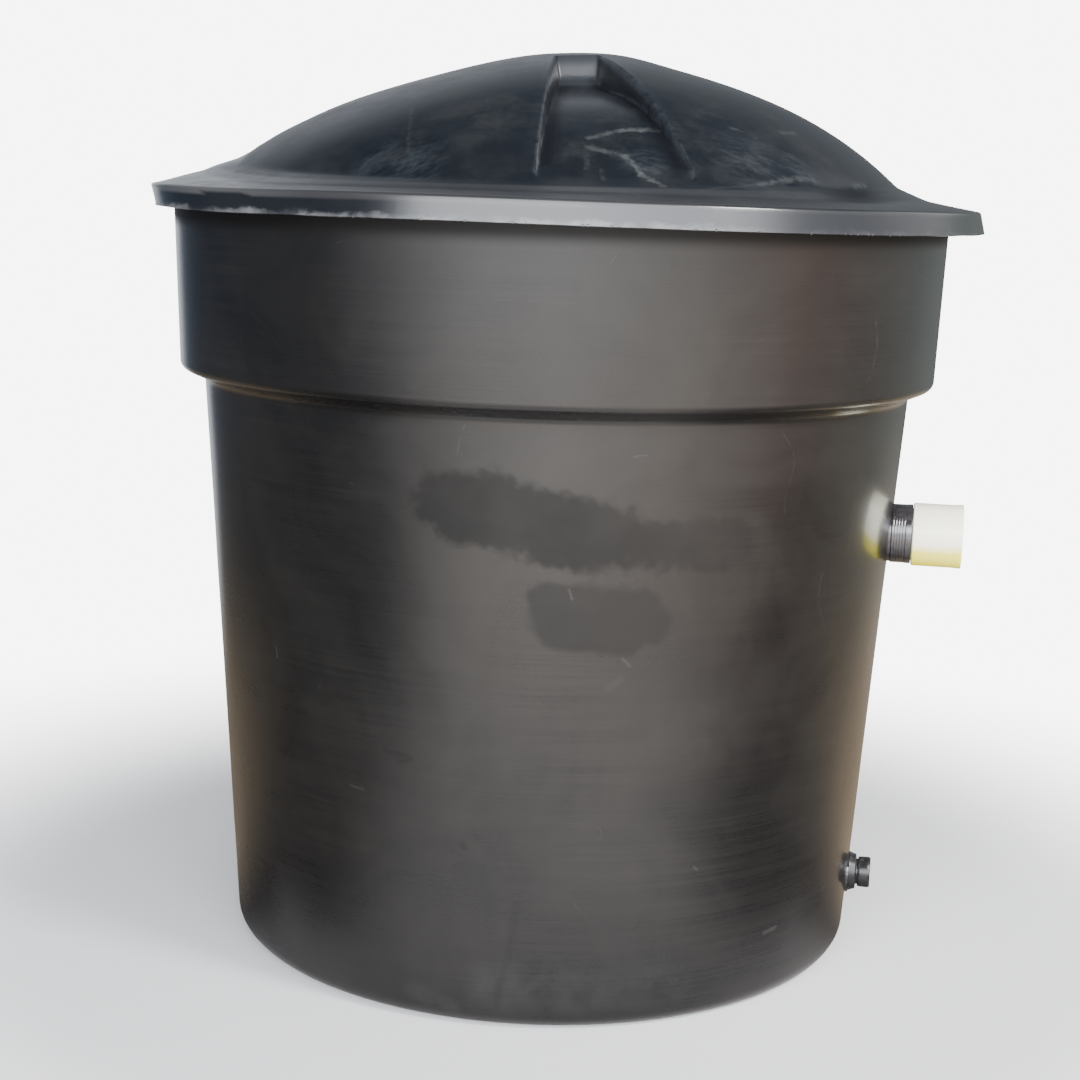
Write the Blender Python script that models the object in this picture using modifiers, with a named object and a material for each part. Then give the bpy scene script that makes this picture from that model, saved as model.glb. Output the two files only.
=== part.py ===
"""A 2000 litre biogas digester: a tapered plastic tank with a domed lift-off lid.

Metres, +Z up. The origin is the middle of the tank's base. The outlet and the sludge drain
point along +X and the inlet along +Y. The lid's four wedge-shaped recesses are 90 degrees apart.
"""

import math

import bmesh
import bpy
from mathutils import Matrix

# Tank
WALL_THICKNESS = 0.006
FOOT_RADIUS = 0.619
HEEL_RADIUS = 0.045
WALL_FOOT_HEIGHT = 0.052
WALL_TOP_RADIUS = 0.688
WALL_TOP_HEIGHT = 1.095
COLLAR_FOOT_RADIUS = 0.735
COLLAR_FOOT_HEIGHT = 1.137
COLLAR_TOP_RADIUS = 0.745
COLLAR_TOP_HEIGHT = 1.424
WALL_SLOPE = (WALL_TOP_RADIUS - FOOT_RADIUS) / WALL_TOP_HEIGHT
COLLAR_SLOPE = (COLLAR_TOP_RADIUS - COLLAR_FOOT_RADIUS) / (COLLAR_TOP_HEIGHT - COLLAR_FOOT_HEIGHT)
WALL_RING_HEIGHTS = (WALL_TOP_HEIGHT, 0.970, 0.740, 0.480, 0.230, WALL_FOOT_HEIGHT)
SHOULDER_CREST_RADIUS = 0.013
SHOULDER_CREST_DROP = 0.008
SHOULDER_BEND_RISE = 0.010
STRAIGHT_LEAD = 0.006
RIM_INNER_RADIUS = 0.739
RIM_OUTER_RADIUS = 0.762
RIM_LIP_HEIGHT = 0.016

# Lid
LID_THICKNESS = 0.006
LID_TOP = 1.727
LID_RADIUS = 0.810
DOME_RADIUS = 0.635
DOME_SEAM_RADIUS = 0.668
FLANGE_KNEE_RADIUS = 0.700
FLANGE_KNEE_HEIGHT = 1.4675
FLANGE_EDGE_RADIUS = 0.794
FLANGE_EDGE_HEIGHT = 1.4515
DOME_SEAM_HEIGHT = 1.4795
FLANGE_SLOPE = (FLANGE_EDGE_HEIGHT - FLANGE_KNEE_HEIGHT) / (FLANGE_EDGE_RADIUS - FLANGE_KNEE_RADIUS)
SEAM_SLOPE = (FLANGE_KNEE_HEIGHT - DOME_SEAM_HEIGHT) / (FLANGE_KNEE_RADIUS - DOME_SEAM_RADIUS)
SKIRT_CORNER_RADIUS = 0.0065
SKIRT_LEAN = math.radians(13)
SKIRT_FOOT_HEIGHT = 1.412
DOME_FALL, DOME_POWER = 0.505, 1.91
DOME_FOOT_FALL, DOME_FOOT_POWER = 0.019, 8

# Wedge-shaped recesses in the lid
RECESS_COUNT = 4
RECESS_FIRST_ANGLE = math.radians(-72)
RECESS_END_RADIUS = 0.148
RECESS_FLOOR_START = 0.170
RECESS_HALF_WIDTH_AT_AXIS = 0.011
RECESS_HALF_WIDTH_SLOPE = 0.191
RECESS_WALL_DRAFT = 0.012
RECESS_FLOOR_TOP = 1.656
RECESS_FLOOR_FALL, RECESS_FLOOR_POWER = 0.597, 2.79

# Pipe sockets
PIPE_RADIUS = 0.0508
PIPE_BORE_RADIUS = 0.0476
PIPE_INNER_END = 0.628
SOCKET_RADIUS = 0.0620
SOCKET_BORE_RADIUS = 0.0515
SOCKET_START = 0.7125
SOCKET_STEP = 0.738
SOCKET_END = 0.808
GROMMET_RADIUS = 0.056
GROMMET_END = 0.712
GROMMET_LIP_RADIUS = 0.066
SEAL_PLACE = 0.787
OUTLET_HEIGHT = 0.830
INLET_HEIGHT = 0.880

# Sludge drain
DRAIN_HEIGHT = 0.134
DRAIN_SPIGOT_RADIUS = 0.030
DRAIN_BORE_RADIUS = 0.019
DRAIN_GASKET_RADIUS = 0.0420
DRAIN_FLANGE_RADIUS = 0.0395
DRAIN_FLANGE_FRONT_RADIUS = 0.0355
DRAIN_NECK_RADIUS = 0.0262
DRAIN_CAP_RADIUS = 0.0305
DRAIN_GASKET_THICKNESS = 0.003
DRAIN_FLANGE_THICKNESS = 0.014
DRAIN_CAP_START = 0.021
DRAIN_REACH = 0.0455
DRAIN_INNER_REACH = 0.030
DRAIN_NUT_RADIUS = 0.043
DRAIN_NUT_DEPTH = 0.012

# How far from the tank's axis the cutters of its holes start and end
HOLE_START = 0.55
HOLE_END = 0.75

# Shared
GAP = 0.0003
LID_SEAM_GAP = 0.0012
TANK_STEPS = 64
FITTING_STEPS = 32
ARC_STEPS = 4
TINY_MERGE = 0.00001

BLACK_PLASTIC = (0.022, 0.023, 0.025)
BLACK_RUBBER = (0.030, 0.027, 0.029)
WHITE_PVC = (0.780, 0.740, 0.480)


def clear_scene():
    for thing in list(bpy.data.objects):
        bpy.data.objects.remove(thing, do_unlink=True)


def new_collection(name):
    collection = bpy.data.collections.new(name)
    bpy.context.scene.collection.children.link(collection)
    return collection


def plastic(name, colour, roughness):
    """A Principled material in one colour."""
    material = bpy.data.materials.new(name)
    material.use_nodes = True
    shader = material.node_tree.nodes["Principled BSDF"]
    shader.inputs["Base Color"].default_value = (*colour, 1.0)
    shader.inputs["Roughness"].default_value = roughness
    shader.inputs["Metallic"].default_value = 0.0
    return material


def tank_plastic(node):
    return plastic(node + "_plastic", BLACK_PLASTIC, 0.38)


def rubber(node):
    return plastic(node + "_rubber", BLACK_RUBBER, 0.60)


def pvc(node):
    return plastic(node + "_pvc", WHITE_PVC, 0.30)


def black_fitting(node):
    return plastic(node + "_plastic", BLACK_PLASTIC, 0.30)


def wall_radius(height):
    """The tank wall's outer radius at a height between heel and shoulder."""
    return FOOT_RADIUS + WALL_SLOPE * height


def flange_height(radius):
    """The top of the lid's flange outside its knee, a straight slope."""
    return FLANGE_KNEE_HEIGHT + FLANGE_SLOPE * (radius - FLANGE_KNEE_RADIUS)


def dome_height(radius):
    """The top of the lid's petals: a shallow dome that steepens towards its foot."""
    foot_fall = DOME_FOOT_FALL * (radius / DOME_RADIUS) ** DOME_FOOT_POWER
    return LID_TOP - DOME_FALL * radius ** DOME_POWER - foot_fall


def recess_floor_height(radius):
    return RECESS_FLOOR_TOP - RECESS_FLOOR_FALL * radius ** RECESS_FLOOR_POWER


def recess_half_width(radius):
    return RECESS_HALF_WIDTH_AT_AXIS + RECESS_HALF_WIDTH_SLOPE * radius


def arc(centre, radius, start, end, steps=ARC_STEPS):
    """Points of an arc in the profile plane, with its angles in degrees."""
    points = []
    for step in range(steps + 1):
        angle = math.radians(start + (end - start) * step / steps)
        points.append((centre[0] + radius * math.cos(angle), centre[1] + radius * math.sin(angle)))
    return points


def trimmed(points, start=GAP / 2, end=GAP / 2):
    """The same open profile, shortened at its two ends."""
    def moved(point, neighbour, distance):
        length = math.dist(point, neighbour)
        share = distance / length
        return tuple(a + (b - a) * share for a, b in zip(point, neighbour))

    first = moved(points[0], points[1], start)
    last = moved(points[-1], points[-2], end)
    return [first, *points[1:-1], last]


def profile_object(name, points, closed, collection, material):
    """A profile in the XZ plane, as an object of edges."""
    mesh = bpy.data.meshes.new(name)
    edges = [(i, i + 1) for i in range(len(points) - 1)]
    if closed:
        edges.append((len(points) - 1, 0))
    mesh.from_pydata([(x, 0.0, z) for x, z in points], edges, [])
    thing = bpy.data.objects.new(name, mesh)
    collection.objects.link(thing)
    if material:
        mesh.materials.append(material)
    return thing


def turn(thing, steps):
    """Turns a profile object round its Z axis."""
    screw = thing.modifiers.new("turn", "SCREW")
    screw.axis = "Z"
    screw.angle = math.tau
    screw.screw_offset = 0.0
    screw.steps = steps
    screw.render_steps = steps
    screw.use_merge_vertices = True
    screw.merge_threshold = TINY_MERGE
    screw.use_smooth_shade = True


def turned_solid(name, points, collection, material, steps, closed=True):
    """A solid of revolution. An open profile starts and ends on the axis."""
    thing = profile_object(name, points, closed, collection, material)
    turn(thing, steps)
    return thing


def turned_shell(name, points, thickness, collection, material):
    """A wall turned from its outer profile and thickened inwards."""
    thing = profile_object(name, points, False, collection, material)
    turn(thing, TANK_STEPS)
    solidify(thing, thickness)
    return thing


def solidify(thing, thickness):
    shell = thing.modifiers.new("thickness", "SOLIDIFY")
    shell.thickness = thickness
    shell.offset = -1.0
    shell.use_even_offset = True
    shell.use_rim = True


def cut(thing, cutter, operation="DIFFERENCE"):
    boolean = thing.modifiers.new(operation.lower(), "BOOLEAN")
    boolean.object = cutter
    boolean.operation = operation
    boolean.solver = "EXACT"


def hide_cutter(thing):
    thing.hide_render = True
    thing.display_type = "WIRE"
    return thing


def lie_along(thing, angle, height):
    """Turns a fitting's own +Z outwards from the tank, at an angle round it and a height."""
    outwards = Matrix.Rotation(angle, 4, "Z") @ Matrix.Rotation(math.pi / 2, 4, "Y")
    half_facet = Matrix.Rotation(math.pi / FITTING_STEPS, 4, "Z")
    thing.matrix_world = Matrix.Translation((0, 0, height)) @ outwards @ half_facet


def smooth_round_faces(thing):
    mesh = thing.data
    if mesh.polygons:
        mesh.shade_smooth()
        mesh.set_sharp_from_angle(angle=math.radians(35))


def wall_profile():
    """The straight wall, with rings above and below the holes to keep its faces short."""
    return [(wall_radius(height), height) for height in WALL_RING_HEIGHTS]


def floor_profile():
    """The foot of the wall, the rounded heel and half of the flat base."""
    lean = math.atan(WALL_SLOPE)
    heel_top = HEEL_RADIUS * (1 - math.sin(lean))
    heel_centre = (wall_radius(heel_top) - HEEL_RADIUS * math.cos(lean), HEEL_RADIUS)
    heel = arc(heel_centre, HEEL_RADIUS, -math.degrees(lean), -90)
    return [(wall_radius(WALL_FOOT_HEIGHT), WALL_FOOT_HEIGHT), *heel, (0.0, 0.0)]


def shoulder_profile():
    """A quarter-round shoulder under the collar, tangent to the wall below it."""
    collar_foot = (COLLAR_FOOT_RADIUS, COLLAR_FOOT_HEIGHT)
    crest_centre = (COLLAR_FOOT_RADIUS - SHOULDER_CREST_RADIUS, COLLAR_FOOT_HEIGHT - SHOULDER_CREST_DROP)
    crest = arc(crest_centre, SHOULDER_CREST_RADIUS, -8, -72, 3)
    inner_bend = (WALL_TOP_RADIUS + STRAIGHT_LEAD, WALL_TOP_HEIGHT + SHOULDER_BEND_RISE)
    lead_in = (WALL_TOP_RADIUS + WALL_SLOPE * STRAIGHT_LEAD, WALL_TOP_HEIGHT + STRAIGHT_LEAD)
    wall_join = (WALL_TOP_RADIUS, WALL_TOP_HEIGHT)
    return [collar_join(), collar_foot, *crest, inner_bend, lead_in, wall_join]


def collar_join():
    """Where the shoulder ends and the straight collar starts."""
    return (COLLAR_FOOT_RADIUS + COLLAR_SLOPE * STRAIGHT_LEAD, COLLAR_FOOT_HEIGHT + STRAIGHT_LEAD)


def collar_profile():
    return [(COLLAR_TOP_RADIUS, COLLAR_TOP_HEIGHT), collar_join()]


def rim_profile():
    """The turned-out lip that the lid rests on, its top parallel to the lid's underside."""
    drop = LID_THICKNESS * 1.02 + GAP
    bottom = COLLAR_TOP_HEIGHT + 0.0006
    return [
        (RIM_OUTER_RADIUS, flange_height(RIM_OUTER_RADIUS) - drop),
        (RIM_OUTER_RADIUS, flange_height(RIM_OUTER_RADIUS) - drop - RIM_LIP_HEIGHT),
        (COLLAR_TOP_RADIUS + 0.004, bottom),
        (RIM_INNER_RADIUS, bottom),
        (RIM_INNER_RADIUS, flange_height(RIM_INNER_RADIUS) - drop),
    ]


def flange_profile():
    edge = FLANGE_EDGE_RADIUS - STRAIGHT_LEAD
    return [
        (DOME_SEAM_RADIUS, DOME_SEAM_HEIGHT),
        (FLANGE_KNEE_RADIUS, FLANGE_KNEE_HEIGHT),
        (edge, flange_height(edge)),
    ]


def skirt_corner_centre():
    """The centre of an arc that touches the flange's slope and the leaning skirt."""
    lean = math.tan(SKIRT_LEAN)
    below_flange = SKIRT_CORNER_RADIUS * math.hypot(1, FLANGE_SLOPE)
    inside_skirt = SKIRT_CORNER_RADIUS * math.hypot(1, lean)
    rise = flange_height(0.0) - below_flange - SKIRT_FOOT_HEIGHT
    radius = (LID_RADIUS - inside_skirt - lean * rise) / (1 + lean * FLANGE_SLOPE)
    return radius, flange_height(radius) - below_flange


def skirt_profile():
    """The lid's rounded edge and the skirt below it, which leans outwards."""
    flange_normal = 90 + math.degrees(math.atan(FLANGE_SLOPE))
    corner = arc(skirt_corner_centre(), SKIRT_CORNER_RADIUS, flange_normal, math.degrees(SKIRT_LEAN))
    start = (FLANGE_EDGE_RADIUS - STRAIGHT_LEAD, flange_height(FLANGE_EDGE_RADIUS - STRAIGHT_LEAD))
    return [start, *corner, (LID_RADIUS, SKIRT_FOOT_HEIGHT)]


def recess_column_angles(radius):
    """Angles from a recess's middle to its wall tops and wall foots at a radius."""
    reach = max(radius, RECESS_END_RADIUS)
    top = math.asin(recess_half_width(reach) / reach)
    foot = math.asin((recess_half_width(reach) - RECESS_WALL_DRAFT) / reach)
    return top, foot


def lid_columns(radius):
    """The angle of each column of the lid at a radius, and whether it lies on a recess floor."""
    petal_steps = 10
    floor_steps = 4
    quarter = math.tau / RECESS_COUNT
    top, foot = recess_column_angles(radius)
    columns = []
    for recess in range(RECESS_COUNT):
        middle = RECESS_FIRST_ANGLE + recess * quarter
        columns.append((middle - top, False))
        for step in range(floor_steps + 1):
            columns.append((middle - foot + 2 * foot * step / floor_steps, True))
        for step in range(petal_steps):
            share = step / petal_steps
            columns.append((middle + top + (quarter - 2 * top) * share, False))
    return columns


def lid_surface_height(radius, on_floor):
    if radius > DOME_RADIUS:
        return seam_height(radius)
    if on_floor and radius >= RECESS_FLOOR_START:
        return recess_floor_height(radius)
    return dome_height(radius)


def seam_height(radius):
    """The lid's surface between the dome's foot and the flange's knee."""
    return DOME_SEAM_HEIGHT + SEAM_SLOPE * (radius - DOME_SEAM_RADIUS)


def lid_ring_radii():
    seam = DOME_SEAM_RADIUS - LID_SEAM_GAP
    crown = [RECESS_END_RADIUS * share for share in (0.40, 0.75, 1.0)]
    petal_rings = 9
    span = DOME_RADIUS - RECESS_FLOOR_START
    petals = [RECESS_FLOOR_START + span * step / petal_rings for step in range(petal_rings + 1)]
    return [*crown, *petals, seam - 0.010, seam]


def make_lid_dome(collection):
    """The petals and the four recesses, as one open sheet that Solidify makes a shell."""
    form = bmesh.new()
    apex = form.verts.new((0.0, 0.0, LID_TOP))
    rings = []
    for radius in lid_ring_radii():
        ring = []
        for angle, on_floor in lid_columns(radius):
            height = lid_surface_height(radius, on_floor)
            ring.append(form.verts.new((radius * math.cos(angle), radius * math.sin(angle), height)))
        rings.append(ring)
    count = len(rings[0])
    for i in range(count):
        form.faces.new((apex, rings[0][i], rings[0][(i + 1) % count]))
    for inner, outer in zip(rings, rings[1:]):
        for i in range(count):
            j = (i + 1) % count
            form.faces.new((inner[i], outer[i], outer[j], inner[j]))
    mesh = bpy.data.meshes.new("lid_dome")
    form.to_mesh(mesh)
    form.free()
    dome = bpy.data.objects.new("lid_dome", mesh)
    collection.objects.link(dome)
    mesh.materials.append(tank_plastic("lid_dome"))
    smooth_round_faces(dome)
    solidify(dome, LID_THICKNESS)
    return dome


def make_lid(collection):
    make_lid_dome(collection)
    turned_shell("lid_flange", trimmed(flange_profile()), LID_THICKNESS, collection,
                 tank_plastic("lid_flange"))
    turned_shell("lid_skirt", trimmed(skirt_profile(), end=0.0), LID_THICKNESS, collection,
                 tank_plastic("lid_skirt"))


def round_cutter(name, radius, start, end, angle, height, cutters):
    """A cylinder that points outwards from the tank's axis."""
    points = [(0.0, end), (radius, end), (radius, start), (0.0, start)]
    thing = turned_solid(name, points, cutters, None, FITTING_STEPS, closed=False)
    lie_along(thing, angle, height)
    return hide_cutter(thing)


def make_tank(collection, cutters):
    turned_shell("tank_floor", trimmed(floor_profile(), end=0.0), WALL_THICKNESS, collection,
                 tank_plastic("tank_floor"))
    wall = turned_shell("tank_wall", trimmed(wall_profile()), WALL_THICKNESS, collection,
                        tank_plastic("tank_wall"))
    holes = (
        ("outlet_hole", GROMMET_RADIUS, 0.0, OUTLET_HEIGHT),
        ("inlet_hole", GROMMET_RADIUS, math.pi / 2, INLET_HEIGHT),
        ("drain_hole", DRAIN_SPIGOT_RADIUS, 0.0, DRAIN_HEIGHT),
    )
    for name, radius, angle, height in holes:
        cutter = round_cutter(name, radius + GAP, HOLE_START, HOLE_END, angle, height, cutters)
        cut(wall, cutter)
    turned_shell("tank_shoulder", trimmed(shoulder_profile()), WALL_THICKNESS, collection,
                 tank_plastic("tank_shoulder"))
    turned_shell("tank_collar", trimmed(collar_profile()), WALL_THICKNESS, collection,
                 tank_plastic("tank_collar"))
    turned_solid("tank_rim", rim_profile(), collection, tank_plastic("tank_rim"), TANK_STEPS)


def socket_profile():
    """The pipe stub with its bell and the groove for the seal, outer side first."""
    groove_depth = 0.004
    groove_half = 0.004
    return [
        (SOCKET_RADIUS, SOCKET_END),
        (SOCKET_RADIUS, SOCKET_START + 0.006),
        (SOCKET_RADIUS - 0.006, SOCKET_START),
        (PIPE_RADIUS, SOCKET_START),
        (PIPE_RADIUS, PIPE_INNER_END),
        (PIPE_BORE_RADIUS, PIPE_INNER_END),
        (PIPE_BORE_RADIUS, SOCKET_STEP),
        (SOCKET_BORE_RADIUS, SOCKET_STEP + 0.004),
        (SOCKET_BORE_RADIUS, SEAL_PLACE - groove_half),
        (SOCKET_BORE_RADIUS + groove_depth, SEAL_PLACE - groove_half),
        (SOCKET_BORE_RADIUS + groove_depth, SEAL_PLACE + groove_half),
        (SOCKET_BORE_RADIUS, SEAL_PLACE + groove_half),
        (SOCKET_BORE_RADIUS, SOCKET_END),
    ]


def grommet_profile(height):
    """The rubber sleeve through the wall, with a lip that holds it from inside."""
    inner_wall = wall_radius(height) - WALL_THICKNESS
    curve_room = GROMMET_LIP_RADIUS ** 2 / (2 * inner_wall)
    taper_room = GROMMET_LIP_RADIUS * WALL_SLOPE
    lip_face = inner_wall - curve_room - taper_room - GAP
    lip_back = lip_face - 0.008
    bore = PIPE_RADIUS + GAP
    return [
        (GROMMET_RADIUS, GROMMET_END),
        (GROMMET_RADIUS, lip_face),
        (GROMMET_LIP_RADIUS, lip_face),
        (GROMMET_LIP_RADIUS, lip_back),
        (bore, lip_back),
        (bore, GROMMET_END),
    ]


def seal_profile():
    inner = SOCKET_BORE_RADIUS - 0.001
    outer = SOCKET_BORE_RADIUS + 0.004 - GAP
    half = 0.004 - GAP
    return [
        (outer, SEAL_PLACE + half),
        (outer, SEAL_PLACE - half),
        (inner, SEAL_PLACE - half / 2),
        (inner, SEAL_PLACE + half / 2),
    ]


def make_pipe_fitting(prefix, angle, height, collection):
    """A pipe socket, its rubber grommet and the seal inside its mouth."""
    pieces = (
        (prefix + "_grommet", grommet_profile(height), rubber),
        (prefix + "_socket", socket_profile(), pvc),
        (prefix + "_seal", seal_profile(), rubber),
    )
    for name, points, finish in pieces:
        thing = turned_solid(name, points, collection, finish(name), FITTING_STEPS)
        lie_along(thing, angle, height)


def tank_form(name, offset, cutters):
    """The wall as a solid cone, its surface moved outwards by an offset."""
    points = [
        (0.0, WALL_TOP_HEIGHT),
        (WALL_TOP_RADIUS + offset, WALL_TOP_HEIGHT),
        (FOOT_RADIUS + offset, 0.0),
        (0.0, 0.0),
    ]
    thing = turned_solid(name, points, cutters, None, TANK_STEPS, closed=False)
    return hide_cutter(thing)


def make_drain(collection, cutters):
    """The sludge drain: a flanged spigot, its washers, its lock nut and a screwed cap."""
    surface = wall_radius(DRAIN_HEIGHT)
    seat = surface + DRAIN_GASKET_THICKNESS
    bore = DRAIN_SPIGOT_RADIUS + GAP
    outside = tank_form("outside_form", GAP, cutters)
    inside = tank_form("inside_form", -WALL_THICKNESS - GAP, cutters)

    gasket = [
        (DRAIN_GASKET_RADIUS, seat),
        (DRAIN_GASKET_RADIUS, surface - 0.010),
        (bore, surface - 0.010),
        (bore, seat),
    ]
    inner_face = surface - 0.013
    washer = [
        (DRAIN_GASKET_RADIUS, surface),
        (DRAIN_GASKET_RADIUS, inner_face),
        (bore, inner_face),
        (bore, surface),
    ]
    flange_back = seat + GAP
    flange_front = flange_back + DRAIN_FLANGE_THICKNESS
    neck_end = surface + DRAIN_REACH - 0.007
    body = [
        (DRAIN_NECK_RADIUS, neck_end),
        (DRAIN_NECK_RADIUS, flange_front),
        (DRAIN_FLANGE_FRONT_RADIUS - 0.003, flange_front),
        (DRAIN_FLANGE_FRONT_RADIUS, flange_front - 0.003),
        (DRAIN_FLANGE_RADIUS, flange_back),
        (DRAIN_SPIGOT_RADIUS, flange_back),
        (DRAIN_SPIGOT_RADIUS, surface - DRAIN_INNER_REACH),
        (DRAIN_BORE_RADIUS, surface - DRAIN_INNER_REACH),
        (DRAIN_BORE_RADIUS, neck_end),
    ]
    cap_inside = DRAIN_NECK_RADIUS + GAP
    cap = [
        (0.0, surface + DRAIN_REACH),
        (DRAIN_CAP_RADIUS - 0.002, surface + DRAIN_REACH),
        (DRAIN_CAP_RADIUS, surface + DRAIN_REACH - 0.002),
        (DRAIN_CAP_RADIUS, surface + DRAIN_CAP_START),
        (cap_inside, surface + DRAIN_CAP_START),
        (cap_inside, neck_end + GAP),
        (0.0, neck_end + GAP),
    ]
    gasket_ring = turned_solid("drain_gasket", gasket, collection, rubber("drain_gasket"), FITTING_STEPS)
    washer_ring = turned_solid("drain_washer", washer, collection, rubber("drain_washer"), FITTING_STEPS)
    flange = turned_solid("drain_flange", body, collection, black_fitting("drain_flange"), FITTING_STEPS)
    cap_cup = turned_solid("drain_cap", cap, collection, black_fitting("drain_cap"), FITTING_STEPS, False)
    for thing in (gasket_ring, washer_ring, flange, cap_cup):
        lie_along(thing, 0.0, DRAIN_HEIGHT)
    cut(gasket_ring, outside)
    cut(washer_ring, inside, "INTERSECT")
    make_drain_nut(inner_face - GAP, bore, collection, cutters)


def make_drain_nut(face, bore, collection, cutters):
    """The six-sided nut on the drain's spigot, inside the tank."""
    depth = DRAIN_NUT_DEPTH
    mesh = bpy.data.meshes.new("drain_nut")
    form = bmesh.new()
    bmesh.ops.create_cone(form, cap_ends=True, segments=6, radius1=DRAIN_NUT_RADIUS,
                          radius2=DRAIN_NUT_RADIUS, depth=depth,
                          matrix=Matrix.Translation((0, 0, face - depth / 2)))
    form.to_mesh(mesh)
    form.free()
    nut = bpy.data.objects.new("drain_nut", mesh)
    collection.objects.link(nut)
    mesh.materials.append(black_fitting("drain_nut"))
    lie_along(nut, 0.0, DRAIN_HEIGHT)
    cutter = round_cutter("nut_hole", bore, face - 2 * depth, face + depth, 0.0, DRAIN_HEIGHT, cutters)
    cut(nut, cutter)


def main():
    clear_scene()
    parts = new_collection("biogas_digester")
    cutters = new_collection("cutters")
    make_tank(parts, cutters)
    make_lid(parts)
    make_pipe_fitting("outlet", 0.0, OUTLET_HEIGHT, parts)
    make_pipe_fitting("inlet", math.pi / 2, INLET_HEIGHT, parts)
    make_drain(parts, cutters)


main()
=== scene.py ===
"""The looks of a 2000 litre biogas digester: a tapered black tank, its domed lid and its fittings.

Metres, in the frame's own axes: +Z up, the outlet and the drain out along +X, the inlet along +Y.
"""

import math

import bmesh
import bpy
from mathutils import Matrix, Vector, noise


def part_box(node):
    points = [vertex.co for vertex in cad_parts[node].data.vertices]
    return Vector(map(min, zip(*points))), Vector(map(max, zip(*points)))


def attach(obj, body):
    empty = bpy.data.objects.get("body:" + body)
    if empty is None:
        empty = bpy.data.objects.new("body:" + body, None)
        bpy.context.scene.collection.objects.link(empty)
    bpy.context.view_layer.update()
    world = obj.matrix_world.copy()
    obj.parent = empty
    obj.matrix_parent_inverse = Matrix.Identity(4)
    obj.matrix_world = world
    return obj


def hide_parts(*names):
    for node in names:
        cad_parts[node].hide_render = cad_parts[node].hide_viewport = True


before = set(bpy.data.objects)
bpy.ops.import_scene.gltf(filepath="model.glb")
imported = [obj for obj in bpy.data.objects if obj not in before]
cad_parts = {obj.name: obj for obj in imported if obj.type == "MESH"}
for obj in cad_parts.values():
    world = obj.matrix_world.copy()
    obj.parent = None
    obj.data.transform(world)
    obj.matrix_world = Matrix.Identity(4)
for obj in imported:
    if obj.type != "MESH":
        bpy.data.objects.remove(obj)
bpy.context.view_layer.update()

# Camera, as the photograph was taken
CAMERA_AZIMUTH = math.radians(10.0)
CAMERA_DISTANCE = 3.84
CAMERA_HEIGHT = 1.479
CAMERA_PITCH = math.radians(10.43)
CAMERA_ROLL = math.radians(1.73)
CAMERA_YAW = math.radians(0.34)
CAMERA_LENS = 64.5
FRONT = Vector((math.sin(CAMERA_AZIMUTH), -math.cos(CAMERA_AZIMUTH), 0.0))
SIDE = Vector((math.cos(CAMERA_AZIMUTH), math.sin(CAMERA_AZIMUTH), 0.0))

# Lid form, the same driving sizes as the frame's
LID_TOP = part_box("lid_dome")[1].z
SKIRT_LOW, SKIRT_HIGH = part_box("lid_skirt")
DOME_RADIUS, DOME_FALL, DOME_POWER, DOME_SHOULDER = 0.635, 0.505, 1.91, 0.019
FLOOR_TOP, FLOOR_FALL, FLOOR_POWER = 1.656, 0.597, 2.79
SEAM_RADIUS, SEAM_HEIGHT = 0.668, 1.4795
KNEE_RADIUS, KNEE_HEIGHT = 0.700, 1.4675
EDGE_RADIUS, EDGE_HEIGHT = 0.794, 1.4515
LID_THICKNESS = 0.006
SKIRT_LEAN = math.radians(13)
RECESS_COUNT = 4
RECESS_FIRST_ANGLE = math.radians(-72.0)
RECESS_END_RADIUS = 0.148
RECESS_HALF_WIDTH, RECESS_SPREAD = 0.011, 0.191
RECESS_SIDE_SLOPE = 5.0
RECESS_END_SLOPE = 2.8
RECESS_ROUNDING = 0.018
KNEE_ROUNDING, SEAM_ROUNDING = 0.0012, 0.0035
SKIRT_START = EDGE_RADIUS - 0.004

# How the lid has set: rises and sags as (height, from, to), measured out towards its pressed side
PRESSED_SIDE = math.radians(190.0)
LID_SAGS = (
    (-0.0140, -0.02, 0.55), (0.0100, 0.56, 0.795), (0.0090, 0.46, 0.69),
    (0.0050, -0.22, 0.02), (0.0065, -0.76, -0.22),
)
LID_EDGE_RISE = (0.0090, 0.56, 0.67)
BOWED_SIDE = math.radians(-98.0)
DENT_PLACE = (math.radians(-31.5), 0.672)

TANK_COLUMNS = 256
FITTING_COLUMNS = 96
WALL_THICKNESS = 0.006
OUTLET_SIDE, INLET_SIDE = 0.0, math.pi / 2
SLEEVE_RADIUS, DRAIN_RADIUS, HOLE_CLEARANCE = 0.056, 0.0303, 0.0004
SWELL_FOOT = 0.02
FLAKE_COUNT, FLAKE_SEED = 34, 11


# Shapes


def polar(radius, angle, height):
    return (radius * math.cos(angle), radius * math.sin(angle), height)


def turn_profile(name, profile, columns):
    """A closed mesh turned about Z from (radius, height) points; one on the axis is a pole."""
    form = bmesh.new()
    rings = []
    for radius, height in profile:
        if radius < 1e-6:
            rings.append([form.verts.new((0.0, 0.0, height))] * columns)
            continue
        angles = (math.tau * column / columns for column in range(columns))
        rings.append([form.verts.new(polar(radius, angle, height)) for angle in angles])
    if profile[0][0] > 1e-6:
        rings.append(rings[0])
    for low, high in zip(rings, rings[1:]):
        for i in range(columns):
            j = (i + 1) % columns
            corners = [low[i], low[j], high[j], high[i]]
            face = [v for k, v in enumerate(corners) if v not in corners[:k]]
            if len(face) > 2:
                form.faces.new(face)
    if form.calc_volume(signed=True) < 0:
        bmesh.ops.reverse_faces(form, faces=form.faces[:])
    return mesh_object(name, form)


def mesh_object(name, form):
    mesh = bpy.data.meshes.new(name)
    form.to_mesh(mesh)
    form.free()
    thing = bpy.data.objects.new(name, mesh)
    bpy.context.scene.collection.objects.link(thing)
    return thing


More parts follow.
